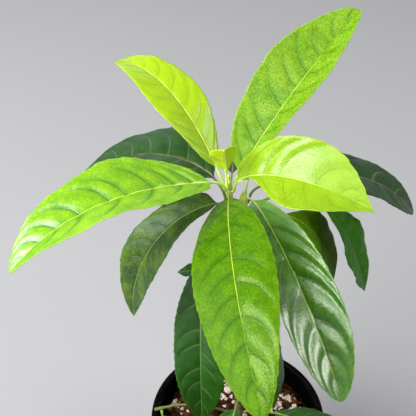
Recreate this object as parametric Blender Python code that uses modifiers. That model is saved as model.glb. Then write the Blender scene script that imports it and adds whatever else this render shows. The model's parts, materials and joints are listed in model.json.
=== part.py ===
"""Young rudraksha plant in a round black nursery pot.

Metres, +Z up. The origin is the middle of the pot's flat underside, and the
side of the plant that is seen first faces -Y.
"""

import math
import random

import bmesh
import bpy
import numpy as np
from mathutils import Vector

# Pot
POT_HEIGHT = 0.098
RIM_RADIUS = 0.0545
RIM_LIP = 0.0040
RIM_BAND = 0.0125
BAND_STEP = 0.0028
BASE_RADIUS = 0.039
WALL = 0.0016
FLOOR = 0.0022
POT_STEPS = 48
DRAIN_HOLES = 8
DRAIN_RADIUS = 0.0036

# Potting soil
SOIL_TOP = 0.084
SOIL_RELIEF = 0.0016
SOIL_SIDES = 24
SOIL_RINGS = 14
GAP = 0.0003

# Main stem and side shoot
STEM_BOTTOM = 0.070
STEM_TOP = 0.2865
STEM_LEAN_X = -0.009
STEM_LEAN_Y = -0.0005
STEM_BOW = 0.004
STEM_RADIUS_LOW = 0.0029
STEM_RADIUS_HIGH = 0.0013
SHOOT_BOTTOM = 0.228
SHOOT_TOP = 0.274
SHOOT_END_X = -0.0012
SHOOT_END_Y = 0.0038
SHOOT_RADIUS = 0.0017
SHOOT_TIP = 0.8
SWELL = 1.06
TWIG_HEIGHT = 0.0983
TWIG_RADIUS = 0.0012
TWIG_LEAF_X = -0.0480
TWIG_LEAF_Y = 0.0017

# Leaves
BLADE_THICKNESS = 0.0007
RIB_DEPTH = 0.0006
STALK_RADIUS = 0.0011
MARGIN_WAVE = 0.0011
TOOTH_SHARE = 0.035
VEIN_PAIRS = 8
VEIN_RELIEF = 0.0004
VEIN_LEAN = 0.10
STALK_ROWS = 3
STALK_ROWS_LONG = 5
TIP_HALF_WIDTH = 0.0005

# Each leaf: where its stalk starts and how its midrib runs. Lengths in
# millimetres and angles in degrees. heading is the compass direction, +X being
# 0 and +Y 90. stalk_rise, rise and droop are the slopes of the stalk and of the
# midrib at its start, and how far the slope falls by the tip. ease below 1
# bends the blade mostly near its base. swing turns the midrib sideways, roll
# and twist tilt the blade about it, fold lifts the two halves and camber bends
# them down again towards the margin. widest, tip and foot shape the outline.
LEAVES = {
    "leaf_front": dict(
        on="stem", height=279, heading=-94, stalk=5, stalk_rise=44, length=120, width=37, rise=23, droop=60,
        ease=0.83, swing=20, roll=23, twist=7, fold=12, camber=10, widest=0.49, tip=0.63, foot=0.90,
        foot_right=0.60, colour="leaf_mid", rows=24, seed=1,
    ),
    "leaf_left": dict(
        on="stem", height=283, heading=208, stalk=9, stalk_rise=66, length=108, width=39, rise=18, droop=63,
        ease=1.59, swing=3, roll=-9, twist=18, fold=21, camber=1, widest=0.45, tip=0.64, foot=0.60,
        foot_right=0.83, colour="leaf_light", rows=24, seed=2,
    ),
    "leaf_right": dict(
        on="stem", height=282, heading=-36, stalk=5.4, stalk_rise=85, length=74.5, width=39, rise=65, droop=82,
        ease=0.5, swing=8, roll=34, twist=-13, fold=15, camber=-10, widest=0.57, tip=1.25, foot=0.60,
        foot_right=2.6, colour="leaf_light", rows=22, seed=3,
    ),
    "leaf_top_right": dict(
        on="stem", height=280, heading=42, stalk=8, stalk_rise=82, length=98, width=41, rise=49, droop=16,
        ease=0.73, swing=-5, roll=-3, twist=6, fold=24, camber=-8, widest=0.49, tip=0.60, foot=0.60,
        foot_right=1.15, colour="leaf_mid", rows=24, seed=4,
    ),
    "leaf_top_left": dict(
        on="stem", height=280, heading=134, stalk=11, stalk_rise=57, length=89, width=27, rise=54, droop=86,
        ease=1.47, swing=0, roll=-3, twist=1, fold=13, camber=5, widest=0.49, tip=0.94, foot=0.76,
        colour="leaf_light", rows=22, seed=5,
    ),
    "leaf_young_top": dict(
        on="stem", height=285, heading=-104, stalk=11, stalk_rise=75, length=17, width=16, rise=75, droop=3,
        ease=1.0, swing=-6, roll=25, twist=7, fold=35, camber=-1, widest=0.60, tip=0.68, foot=0.92,
        colour="leaf_light", rows=10, seed=6,
    ),
    "leaf_back_left": dict(
        on="stem", height=273, heading=140, stalk=12, stalk_rise=71, length=89, width=42, rise=34, droop=76,
        ease=0.5, swing=35, roll=-13, twist=25, fold=15, camber=7, widest=0.42, tip=0.71, foot=0.89,
        foot_right=0.86, colour="leaf_dark", rows=20, seed=7,
    ),
    "leaf_low_left": dict(
        on="stem", height=270, heading=189, stalk=5, stalk_rise=78, length=90, width=27, rise=4, droop=97,
        ease=0.65, swing=24, roll=0, twist=-26, fold=17, camber=5, widest=0.50, tip=0.99, foot=0.60,
        foot_right=0.32, colour="leaf_dark", rows=20, seed=8,
    ),
    "leaf_hang_left": dict(
        on="stem", height=238, heading=187, stalk=23, stalk_rise=52, length=137, width=32, rise=-88, droop=3,
        ease=0.75, swing=9, roll=-42, twist=-29, fold=15, camber=3, widest=0.53, tip=0.60, foot=0.68,
        foot_right=0.61, colour="leaf_dark", rows=22, seed=9,
    ),
    "leaf_small_left": dict(
        on="stem", height=214, heading=166, stalk=17, stalk_rise=36, length=16, width=10, rise=4, droop=30,
        ease=0.75, swing=-2, roll=-2, twist=0, fold=14, camber=2, widest=0.50, tip=1.06, foot=1.10,
        colour="leaf_dark", rows=8, seed=10,
    ),
    "leaf_hang_right": dict(
        on="stem", height=189, heading=-17, stalk=7, stalk_rise=13, length=72, width=30, rise=-60, droop=29,
        ease=0.67, swing=-8, roll=-2, twist=13, fold=10, camber=8, widest=0.52, tip=0.94, foot=1.11,
        colour="leaf_dark", rows=18, seed=11,
    ),
    "leaf_back": dict(
        on="stem", height=277, heading=84, stalk=10, stalk_rise=60, length=30, width=14, rise=10, droop=70,
        ease=0.8, swing=20, roll=0, twist=0, fold=14, camber=6, widest=0.50, tip=1.00, foot=1.00,
        colour="leaf_dark", rows=10, seed=12,
    ),
    "leaf_low_right": dict(
        on="shoot", height=271, heading=-67, stalk=10.5, stalk_rise=85, length=106, width=32, rise=14, droop=61,
        ease=0.5, swing=3, roll=10, twist=4, fold=23, camber=-6, widest=0.59, tip=0.60, foot=0.67,
        colour="leaf_dark", rows=24, seed=13,
    ),
    "leaf_back_right": dict(
        on="shoot", height=270, heading=21, stalk=11, stalk_rise=84, length=105, width=29, rise=9, droop=66,
        ease=1.0, swing=-9, roll=-4, twist=29, fold=12, camber=6, widest=0.51, tip=0.60, foot=1.10,
        colour="leaf_dark", rows=20, seed=14,
    ),
    "leaf_side_right": dict(
        on="shoot", height=264, heading=5, stalk=42, stalk_rise=42, length=70, width=30, rise=-39, droop=38,
        ease=0.5, swing=-13, roll=10, twist=14, fold=17, camber=9, widest=0.49, tip=1.00, foot=1.12,
        colour="leaf_dark", rows=18, seed=15,
    ),
    "leaf_under_right": dict(
        on="shoot", height=256, heading=4, stalk=20, stalk_rise=46, length=59, width=34, rise=-17, droop=67,
        ease=0.66, swing=-10, roll=6, twist=14, fold=7, camber=7, widest=0.53, tip=0.97, foot=1.15,
        colour="leaf_dark", rows=18, seed=16,
    ),
    "leaf_young_side": dict(
        on="shoot", height=270, heading=70, stalk=10, stalk_rise=80, length=24, width=12, rise=52, droop=56,
        ease=0.97, swing=-4, roll=0, twist=0, fold=20, camber=0, widest=0.50, tip=1.05, foot=1.10,
        colour="leaf_mid", rows=8, seed=17,
    ),
    "leaf_low_front": dict(
        on="stem", height=116, heading=-104, stalk=8, stalk_rise=42, length=84, width=33, rise=10, droop=58,
        ease=0.9, swing=-16, roll=-4, twist=0, fold=10, camber=8, widest=0.48, tip=1.00, foot=0.80,
        colour="leaf_dark", rows=18, seed=18,
    ),
    "leaf_low_front_left": dict(
        on="twig", height=101, heading=-82, stalk=3, stalk_rise=4, length=70, width=30, rise=10, droop=26,
        ease=1.0, swing=26, roll=4, twist=0, fold=10, camber=8, widest=0.45, tip=1.00, foot=0.62,
        colour="leaf_dark", rows=18, seed=19,
    ),
    "leaf_low_front_right": dict(
        on="stem", height=102, heading=-16, stalk=18, stalk_rise=34, length=76, width=31, rise=4, droop=60,
        ease=0.95, swing=-4, roll=-6, twist=0, fold=9, camber=9, widest=0.51, tip=1.00, foot=1.10,
        colour="leaf_dark", rows=18, seed=20,
    ),
}

COLOURS = {
    "leaf_light": (0.36, 0.62, 0.03, 1.0),
    "leaf_mid": (0.14, 0.42, 0.02, 1.0),
    "leaf_dark": (0.035, 0.14, 0.025, 1.0),
}


def clear_scene():
    """Remove what the scene starts with."""
    for obj in list(bpy.data.objects):
        bpy.data.objects.remove(obj, do_unlink=True)


def make_material(name, colour, roughness, metallic=0.0):
    """Principled material with one colour."""
    material = bpy.data.materials.new(name)
    material.use_nodes = True
    shader = material.node_tree.nodes["Principled BSDF"]
    shader.inputs["Base Color"].default_value = colour
    shader.inputs["Roughness"].default_value = roughness
    shader.inputs["Metallic"].default_value = metallic
    material.diffuse_color = colour
    return material


def pot_material():
    """Black plastic with a dull sheen."""
    return make_material("pot", (0.012, 0.012, 0.013, 1.0), 0.42)


def soil_material():
    """Dark bark and coir."""
    return make_material("soil", (0.060, 0.022, 0.012, 1.0), 0.92)


def stem_material():
    """Green young bark."""
    return make_material("stem", (0.17, 0.21, 0.05, 1.0), 0.60)


def leaf_material(name, colour):
    """Glossy leaf skin."""
    return make_material(name, colour, 0.34)


def add_mesh(name, points, faces, collection, material, smooth=False):
    """Object from points and faces."""
    mesh = bpy.data.meshes.new(name)
    mesh.from_pydata([tuple(point) for point in points], [], faces)
    mesh.validate()
    mesh.update()
    if smooth:
        mesh.polygons.foreach_set("use_smooth", [True] * len(mesh.polygons))
    obj = bpy.data.objects.new(name, mesh)
    collection.objects.link(obj)
    if material is not None:
        mesh.materials.append(material)
    return obj


def smooth_step(value):
    """Ease from 0 to 1."""
    value = min(max(value, 0.0), 1.0)
    return value * value * (3.0 - 2.0 * value)


def stem_point(height):
    """Middle of the main stem at a height."""
    share = (height - STEM_BOTTOM) / (STEM_TOP - STEM_BOTTOM)
    across = STEM_LEAN_X * share + STEM_BOW * math.sin(math.pi * share)
    return Vector((across, STEM_LEAN_Y * share, height))


def stem_radius(height):
    """Radius of the main stem at a height."""
    share = (height - STEM_BOTTOM) / (STEM_TOP - STEM_BOTTOM)
    return STEM_RADIUS_LOW + (STEM_RADIUS_HIGH - STEM_RADIUS_LOW) * share


def shoot_point(height):
    """Middle of the side shoot at a height."""
    share = (height - SHOOT_BOTTOM) / (SHOOT_TOP - SHOOT_BOTTOM)
    reach = math.sin(min(max(share, 0.0), 1.0) * math.pi / 2.0) ** 0.8 if share > 0.0 else 0.0
    start = stem_point(SHOOT_BOTTOM)
    across = start.x + (SHOOT_END_X - start.x) * reach
    back = start.y + (SHOOT_END_Y - start.y) * reach
    return Vector((across, back, height))


def rod(name, path, radii, sides_extra, collection):
    """Round rod along a path, as a mesh."""
    curve = bpy.data.curves.new(name, "CURVE")
    curve.dimensions = "3D"
    curve.bevel_depth = 1.0
    curve.bevel_resolution = sides_extra
    curve.use_fill_caps = True
    spline = curve.splines.new("POLY")
    spline.points.add(len(path) - 1)
    for point, place, radius in zip(spline.points, path, radii):
        point.co = (place[0], place[1], place[2], 1.0)
        point.radius = radius
    holder = bpy.data.objects.new(name + "_path", curve)
    collection.objects.link(holder)
    bpy.context.view_layer.update()
    graph = bpy.context.evaluated_depsgraph_get()
    mesh = bpy.data.meshes.new_from_object(holder.evaluated_get(graph))
    bpy.data.objects.remove(holder, do_unlink=True)
    sheet = bmesh.new()
    sheet.from_mesh(mesh)
    bmesh.ops.remove_doubles(sheet, verts=sheet.verts, dist=0.00001)
    bmesh.ops.recalc_face_normals(sheet, faces=sheet.faces)
    bmesh.ops.triangulate(sheet, faces=sheet.faces)
    sheet.to_mesh(mesh)
    sheet.free()
    obj = bpy.data.objects.new(name, mesh)
    collection.objects.link(obj)
    return obj


def apply_all(obj):
    """Turn an object's modifiers into its mesh."""
    bpy.context.view_layer.update()
    graph = bpy.context.evaluated_depsgraph_get()
    mesh = bpy.data.meshes.new_from_object(obj.evaluated_get(graph))
    obj.modifiers.clear()
    obj.data = mesh


def build_pot(parts, cutters, material):
    """Pot turned from one profile, with drain holes cut at the foot."""
    inner_top = RIM_RADIUS - RIM_LIP
    wall_top = POT_HEIGHT - RIM_BAND
    outer_top = RIM_RADIUS - BAND_STEP
    profile = [
        (inner_top, POT_HEIGHT - 0.0009),
        (inner_top + 0.0004, POT_HEIGHT - 0.0002),
        (inner_top + 0.0011, POT_HEIGHT),
        (RIM_RADIUS - 0.0012, POT_HEIGHT),
        (RIM_RADIUS - 0.0004, POT_HEIGHT - 0.0003),
        (RIM_RADIUS, POT_HEIGHT - 0.0011),
        (RIM_RADIUS - 0.0003, wall_top + 0.0004),
        (RIM_RADIUS - 0.0007, wall_top),
        (outer_top + 0.0002, wall_top - 0.0001),
        (outer_top - 0.0002, wall_top - 0.0008),
        (BASE_RADIUS + 0.0006, 0.0030),
        (BASE_RADIUS + 0.0001, 0.0011),
        (BASE_RADIUS - 0.0011, 0.0),
        (0.0, 0.0),
        (0.0, FLOOR),
        (BASE_RADIUS - 0.0022, FLOOR),
        (BASE_RADIUS - 0.0010, FLOOR + 0.0012),
        (outer_top - WALL, wall_top - 0.0010),
        (inner_top - 0.0003, wall_top + 0.0012),
    ]
    points = [(radius, 0.0, height) for radius, height in profile]
    mesh = bpy.data.meshes.new("pot")
    edges = [(i, (i + 1) % len(points)) for i in range(len(points))]
    mesh.from_pydata(points, edges, [])
    pot = bpy.data.objects.new("pot", mesh)
    parts.objects.link(pot)
    mesh.materials.append(material)
    screw = pot.modifiers.new("Turn", "SCREW")
    screw.axis = "Z"
    screw.steps = POT_STEPS
    screw.render_steps = POT_STEPS
    screw.use_merge_vertices = True
    screw.merge_threshold = 0.00001
    screw.use_smooth_shade = True
    for index in range(DRAIN_HOLES):
        turn = 2.0 * math.pi * (index + 0.5) / DRAIN_HOLES
        bpy.ops.mesh.primitive_cylinder_add(
            vertices=14,
            radius=DRAIN_RADIUS,
            depth=0.016,
            location=((BASE_RADIUS - 0.001) * math.cos(turn), (BASE_RADIUS - 0.001) * math.sin(turn), 0.0015),
            rotation=(0.0, math.radians(42.0), turn),
        )
        cutter = bpy.context.active_object
        cutter.name = "drain_cutter_%d" % index
        for collection in list(cutter.users_collection):
            collection.objects.unlink(cutter)
        cutters.objects.link(cutter)
        cutter.hide_render = True
        cutter.display_type = "WIRE"
    cut = pot.modifiers.new("Drain", "BOOLEAN")
    cut.operation = "DIFFERENCE"
    cut.solver = "EXACT"
    cut.operand_type = "COLLECTION"
    cut.collection = cutters
    apply_all(pot)
    return pot


def inner_wall_radius(height):
    """Inner radius of the pot at a height below its rim band."""
    low = FLOOR + 0.0012
    high = POT_HEIGHT - RIM_BAND - 0.0010
    share = (height - low) / (high - low)
    return (BASE_RADIUS - 0.0010) + (RIM_RADIUS - BAND_STEP - WALL - BASE_RADIUS + 0.0010) * share


def build_soil(parts, hole_cutters, material):
    """Soil plug with a lumpy top and a plain hole for the stem."""
    noise = random.Random(11)
    points = []
    faces = []
    bottom = FLOOR + GAP
    shoulder = FLOOR + 0.0022
    edge_height = SOIL_TOP - 0.0012
    rings = [
        (BASE_RADIUS - 0.0030, bottom),
        (inner_wall_radius(shoulder) - GAP - 0.0002, shoulder),
        (inner_wall_radius(edge_height) - GAP - 0.0001, edge_height),
    ]
    for radius, height in rings:
        for side in range(SOIL_SIDES):
            turn = 2.0 * math.pi * side / SOIL_SIDES
            points.append((radius * math.cos(turn), radius * math.sin(turn), height))
    outer = inner_wall_radius(edge_height) - GAP - 0.0001
    for ring in range(1, SOIL_RINGS):
        share = 1.0 - ring / SOIL_RINGS
        for side in range(SOIL_SIDES):
            turn = 2.0 * math.pi * (side + 0.5 * (ring % 2)) / SOIL_SIDES
            radius = outer * (share + noise.uniform(-0.018, 0.018))
            if share < 0.2:
                height = SOIL_TOP + noise.uniform(-0.3, 0.3) * SOIL_RELIEF
            else:
                height = SOIL_TOP + noise.uniform(-1.0, 1.0) * SOIL_RELIEF
            if ring == 1:
                height = SOIL_TOP - 0.0006 + noise.uniform(-0.5, 0.9) * SOIL_RELIEF
            points.append((radius * math.cos(turn), radius * math.sin(turn), height))
    count = 2 + SOIL_RINGS
    bottom_middle = len(points)
    points.append((0.0, 0.0, bottom))
    top_middle = len(points)
    points.append((0.0, 0.0, SOIL_TOP))
    for ring in range(count - 1):
        for side in range(SOIL_SIDES):
            after = (side + 1) % SOIL_SIDES
            a = ring * SOIL_SIDES + side
            b = ring * SOIL_SIDES + after
            c = (ring + 1) * SOIL_SIDES + after
            d = (ring + 1) * SOIL_SIDES + side
            if ring >= 3 and ring % 2 == 1:
                faces.append((a, b, c))
                faces.append((a, c, d))
            else:
                faces.append((a, b, d))
                faces.append((b, c, d))
    for side in range(SOIL_SIDES):
        after = (side + 1) % SOIL_SIDES
        faces.append((bottom_middle, after, side))
        last = (count - 1) * SOIL_SIDES
        faces.append((top_middle, last + side, last + after))
    soil = add_mesh("soil", points, faces, parts, material)
    foot = stem_point(STEM_BOTTOM)
    bpy.ops.mesh.primitive_cylinder_add(
        vertices=16,
        radius=STEM_RADIUS_LOW + GAP + 0.0003,
        depth=0.040,
        location=(foot.x, foot.y, STEM_BOTTOM - GAP + 0.020),
    )
    cutter = bpy.context.active_object
    cutter.name = "stem_hole_cutter"
    for collection in list(cutter.users_collection):
        collection.objects.unlink(cutter)
    hole_cutters.objects.link(cutter)
    cutter.hide_render = True
    cutter.display_type = "WIRE"
    cut = soil.modifiers.new("Stem hole", "BOOLEAN")
    cut.operation = "DIFFERENCE"
    cut.solver = "EXACT"
    cut.object = cutter
    apply_all(soil)
    return soil


def build_stem(parts, joins, material):
    """Main stem, side shoot and cut twig joined as one body."""
    heights = list(np.linspace(STEM_BOTTOM, STEM_TOP - 0.0015, 23)) + [STEM_TOP]
    path = [stem_point(height) for height in heights]
    radii = []
    for index, height in enumerate(heights):
        swell = SWELL if index % 4 == 2 else 1.0
        radii.append(stem_radius(height) * (1.0 if index in (0, 1, 2) else swell))
    radii[-1] = STEM_RADIUS_HIGH * 0.45
    stem = rod("stem", path, radii, 4, parts)
    stem.data.materials.append(material)

    heights = np.linspace(SHOOT_BOTTOM - 0.004, SHOOT_TOP, 10)
    path = [shoot_point(height) for height in heights]
    radii = [SHOOT_RADIUS] * 9 + [SHOOT_RADIUS * SHOOT_TIP]
    radii[0] = SHOOT_RADIUS * 0.6
    radii[8] = SHOOT_RADIUS * SWELL
    rod("shoot_join", path, radii, 3, joins)

    start = stem_point(TWIG_HEIGHT - 0.001)
    path = [
        (start.x, start.y, start.z),
        (-0.010, 0.0015, TWIG_HEIGHT + 0.0018),
        (-0.024, 0.0045, TWIG_HEIGHT + 0.0030),
        (-0.038, 0.0045, TWIG_HEIGHT + 0.0030),
        (-0.0525, 0.0012, TWIG_HEIGHT + 0.0026),
    ]
    radii = [TWIG_RADIUS * 1.2, TWIG_RADIUS * 1.1, TWIG_RADIUS, TWIG_RADIUS, TWIG_RADIUS * 1.25]
    rod("twig_join", path, radii, 2, joins)

    union = stem.modifiers.new("Join", "BOOLEAN")
    union.operation = "UNION"
    union.solver = "EXACT"
    union.operand_type = "COLLECTION"
    union.collection = joins
    apply_all(stem)
    for obj in list(joins.objects):
        bpy.data.objects.remove(obj, do_unlink=True)
    stem.data.polygons.foreach_set("use_smooth", [True] * len(stem.data.polygons))
    return stem


def half_width(leaf, share, across):
    """Half width of a blade, as a share of its widest. foot_right is for a blade that starts uneven."""
    if share < leaf["widest"]:
        foot = leaf["foot"] if across > 0.0 else leaf.get("foot_right", leaf["foot"])
        return math.sin(share / leaf["widest"] * math.pi / 2.0) ** foot
    rest = max(1.0 - share, 0.0) / (1.0 - leaf["widest"])
    return math.sin(rest * math.pi / 2.0) ** leaf["tip"]


def leaf_path(leaf, steps=240):
    """Stalk and midrib as points, headings and slopes, in metres."""
    heading = math.radians(leaf["heading"])
    stalk_rise = math.radians(leaf["stalk_rise"])
    height = leaf["height"] * 0.001
    if leaf["on"] == "shoot":
        middle = shoot_point(height)
        radius = SHOOT_RADIUS * SWELL
    elif leaf["on"] == "twig":
        middle = Vector((TWIG_LEAF_X, TWIG_LEAF_Y, height))
        radius = TWIG_RADIUS * SWELL
    else:
        middle = stem_point(height)
        radius = stem_radius(height) * SWELL
    away = radius + GAP + STALK_RADIUS * math.sin(stalk_rise)
    place = middle + away * Vector((math.cos(heading), math.sin(heading), 0.0))
    stalk = leaf["stalk"] * 0.001
    length = leaf["length"] * 0.001
    stalk_steps = 40
    places = [place.copy()]
    turns = []
    slopes = []
    for index in range(stalk_steps):
        share = (index + 0.5) / stalk_steps
        slope = stalk_rise + (math.radians(leaf["rise"]) - stalk_rise) * smooth_step(share)
        turns.append(heading)
        slopes.append(slope)
        along = Vector((math.cos(slope) * math.cos(heading), math.cos(slope) * math.sin(heading), math.sin(slope)))
        place = place + along * (stalk / stalk_steps)
        places.append(place.copy())
    for index in range(steps):
        share = (index + 0.5) / steps
        slope = math.radians(leaf["rise"] - leaf["droop"] * share ** leaf["ease"])
        turn = heading + math.radians(leaf["swing"]) * share
        turns.append(turn)
        slopes.append(slope)
        along = Vector((math.cos(slope) * math.cos(turn), math.cos(slope) * math.sin(turn), math.sin(slope)))
        place = place + along * (length / steps)
        places.append(place.copy())
    turns.append(turns[-1])
    slopes.append(slopes[-1])
    return places, turns, slopes, stalk_steps


def vein_height(leaf, share, across):
    """Quilting between side veins, above or below the blade's middle surface."""
    side = abs(across)
    phase = (share - VEIN_LEAN * side ** 1.3) * VEIN_PAIRS
    fade = math.sin(math.pi * min(max(share, 0.0), 1.0)) ** 0.5 * math.sin(math.pi * min(side, 1.0)) ** 0.6
    scale = min(leaf["width"] / 36.0, 1.0)
    return VEIN_RELIEF * scale * fade * math.cos(2.0 * math.pi * phase)


def blade_point(leaf, path, share, across, noise):
    """Point of the blade's middle surface, and the directions there."""
    places, turns, slopes, first = path
    index = first + int(round(share * (len(places) - 1 - first)))
    turn = turns[index]
    slope = slopes[index]
    along = Vector((math.cos(slope) * math.cos(turn), math.cos(slope) * math.sin(turn), math.sin(slope)))
    side = Vector((-math.sin(turn), math.cos(turn), 0.0))
    up = along.cross(side)
    tilt = math.radians(leaf["roll"] + leaf["twist"] * share)
    side_tilted = math.cos(tilt) * side + math.sin(tilt) * up
    up_tilted = math.cos(tilt) * up - math.sin(tilt) * side
    width = leaf["width"] * 0.0005 * half_width(leaf, share, across)
    lift = math.radians(leaf["fold"] - leaf["camber"] * abs(across))
    reach = width * abs(across)
    toward = 1.0 if across > 0 else -1.0
    point = places[index] + side_tilted * (toward * reach * math.cos(lift)) + up_tilted * (reach * math.sin(lift))
    wave = MARGIN_WAVE * min(leaf["width"] / 36.0, 1.0) * abs(across) ** 2
    swell = math.sin(2.0 * math.pi * (noise[0] * share + noise[1] + (0.0 if across > 0 else noise[2])))
    ends = math.sin(math.pi * min(max(share, 0.0), 1.0))
    point = point + up_tilted * (wave * swell * ends + vein_height(leaf, share, across))
    return point, side_tilted, up_tilted


def blade_normal(leaf, path, share, across, noise):
    """Upward normal of the blade's middle surface."""
    step = 0.012
    low = max(share - step, 0.0)
    high = min(share + step, 1.0)
    ahead = blade_point(leaf, path, high, across, noise)[0] - blade_point(leaf, path, low, across, noise)[0]
    left = min(across + 0.08, 1.0)
    right = max(across - 0.08, -1.0)
    inner = min(max(share, 0.02), 0.98)
    over = blade_point(leaf, path, inner, left, noise)[0] - blade_point(leaf, path, inner, right, noise)[0]
    normal = ahead.cross(over)
    if normal.length < 1e-12:
        return blade_point(leaf, path, share, across, noise)[2]
    return normal.normalized()


def leaf_rows(leaf):
    """Shares along the blade, with each tooth's point near the next notch."""
    rows = leaf["rows"]
    shares = [0.0, 0.022]
    first = 0.05
    for index in range(rows):
        base = first + (0.985 - first) * index / (rows - 1)
        if index % 2 == 1:
            base += 0.22 * (0.985 - first) / (rows - 1)
        shares.append(min(base, 0.985))
    shares.append(1.0)
    return shares


def build_leaf(name, leaf, parts, material):
    """One leaf: stalk and blade lofted as a single closed skin."""
    random_source = random.Random(leaf["seed"])
    noise = (random_source.uniform(1.6, 2.6), random_source.random(), random_source.uniform(0.2, 0.8))
    path = leaf_path(leaf)
    places, turns, slopes, first = path
    half = 3 if leaf["rows"] > 16 else 2
    columns = [index / half for index in range(-half, half + 1)]
    count = len(columns)
    small = min(leaf["width"] / 24.0, 1.0)
    stalk_radius = STALK_RADIUS * (0.55 + 0.45 * small)
    points = []

    def round_section(index, tilt, wide, high):
        turn = turns[index]
        slope = slopes[index]
        along = Vector((math.cos(slope) * math.cos(turn), math.cos(slope) * math.sin(turn), math.sin(slope)))
        side = Vector((-math.sin(turn), math.cos(turn), 0.0))
        up = along.cross(side)
        side_tilted = math.cos(tilt) * side + math.sin(tilt) * up
        up_tilted = math.cos(tilt) * up - math.sin(tilt) * side
        ring = []
        for row in (1.0, -1.0):
            order = columns[::-1] if row > 0 else columns
            for across in order:
                angle = math.radians(90.0 - 78.0 * across)
                x = wide * math.cos(angle)
                z = high * math.sin(angle) * row
                ring.append(places[index] + side_tilted * x + up_tilted * z)
        return ring

    start_tilt = math.radians(leaf["roll"])
    stalk_rows = STALK_ROWS_LONG if leaf["stalk"] > 16 else STALK_ROWS
    for row in range(stalk_rows):
        index = int(round(first * row / stalk_rows))
        share = row / stalk_rows
        thick = stalk_radius * (1.12 - 0.24 * share)
        points.append(round_section(index, start_tilt * share, thick, thick))
    shares = leaf_rows(leaf)
    for number, share in enumerate(shares):
        index = first + int(round(share * (len(places) - 1 - first)))
        tilt = math.radians(leaf["roll"] + leaf["twist"] * share)
        thick = stalk_radius * (0.88 - 0.3 * min(share / 0.06, 1.0))
        plain = round_section(index, tilt, thick, thick)
        blend = smooth_step(share / 0.05)
        rib = RIB_DEPTH * small * (1.0 - 0.75 * share)
        toothed = 3 <= number < len(shares) - 1
        tooth = 1.0
        if toothed:
            tooth = 1.0 + TOOTH_SHARE * (0.5 if number % 2 == 0 else -0.5)
        ring = []
        for row in (1.0, -1.0):
            order = columns[::-1] if row > 0 else columns
            for across in order:
                wide = across * (tooth if abs(across) == 1.0 else 1.0)
                if share > 0.99:
                    middle = places[index]
                    side = blade_point(leaf, path, share, across, noise)[1]
                    point = middle + side * (TIP_HALF_WIDTH * across)
                    normal = blade_normal(leaf, path, 0.99, 0.0, noise)
                else:
                    point = blade_point(leaf, path, share, wide, noise)[0]
                    normal = blade_normal(leaf, path, share, across, noise)
                depth = BLADE_THICKNESS * 0.5
                if row < 0 and across == 0.0:
                    depth += rib
                ring.append(point + normal * (row * depth))
        mixed = []
        for plain_point, blade_place in zip(plain, ring):
            mixed.append(plain_point.lerp(blade_place, blend))
        points.append(mixed)
    ring_size = 2 * count
    flat = [point for ring in points for point in ring]
    faces = []
    for row in range(len(points) - 1):
        for column in range(ring_size):
            after = (column + 1) % ring_size
            a = row * ring_size + column
            b = row * ring_size + after
            c = (row + 1) * ring_size + after
            d = (row + 1) * ring_size + column
            if column < count:
                faces.append((a, b, c))
                faces.append((a, c, d))
            else:
                faces.append((a, b, d))
                faces.append((b, c, d))
    last = (len(points) - 1) * ring_size
    for column in range(count - 1):
        mirror = ring_size - 1 - column
        faces.append((column, mirror, mirror - 1))
        faces.append((column, mirror - 1, column + 1))
        faces.append((last + column, last + mirror - 1, last + mirror))
        faces.append((last + column, last + column + 1, last + mirror - 1))
    obj = add_mesh(name, flat, faces, parts, material, smooth=True)
    sheet = bmesh.new()
    sheet.from_mesh(obj.data)
    bmesh.ops.recalc_face_normals(sheet, faces=sheet.faces)
    if sheet.calc_volume(signed=True) < 0.0:
        bmesh.ops.reverse_faces(sheet, faces=sheet.faces)
    sheet.to_mesh(obj.data)
    sheet.free()
    return obj


def main():
    clear_scene()
    scene = bpy.context.scene
    parts = bpy.data.collections.new("potted_rudraksha")
    drain_cutters = bpy.data.collections.new("drain_cutters")
    hole_cutters = bpy.data.collections.new("hole_cutters")
    joins = bpy.data.collections.new("joins")
    for collection in (parts, drain_cutters, hole_cutters, joins):
        scene.collection.children.link(collection)
    drain_cutters.hide_render = True
    hole_cutters.hide_render = True
    build_pot(parts, drain_cutters, pot_material())
    build_soil(parts, hole_cutters, soil_material())
    build_stem(parts, joins, stem_material())
    skins = {name: leaf_material(name, colour) for name, colour in COLOURS.items()}
    for name, leaf in LEAVES.items():
        build_leaf(name, leaf, parts, skins[leaf["colour"]])
    for collection in (joins,):
        bpy.data.collections.remove(collection)


main()
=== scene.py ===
"""Potted rudraksha plant: finished pieces, stage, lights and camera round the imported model.

Metres, +Z up. The origin is the middle of the pot's flat underside, and the side
of the plant that is seen first faces -Y.
"""

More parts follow.
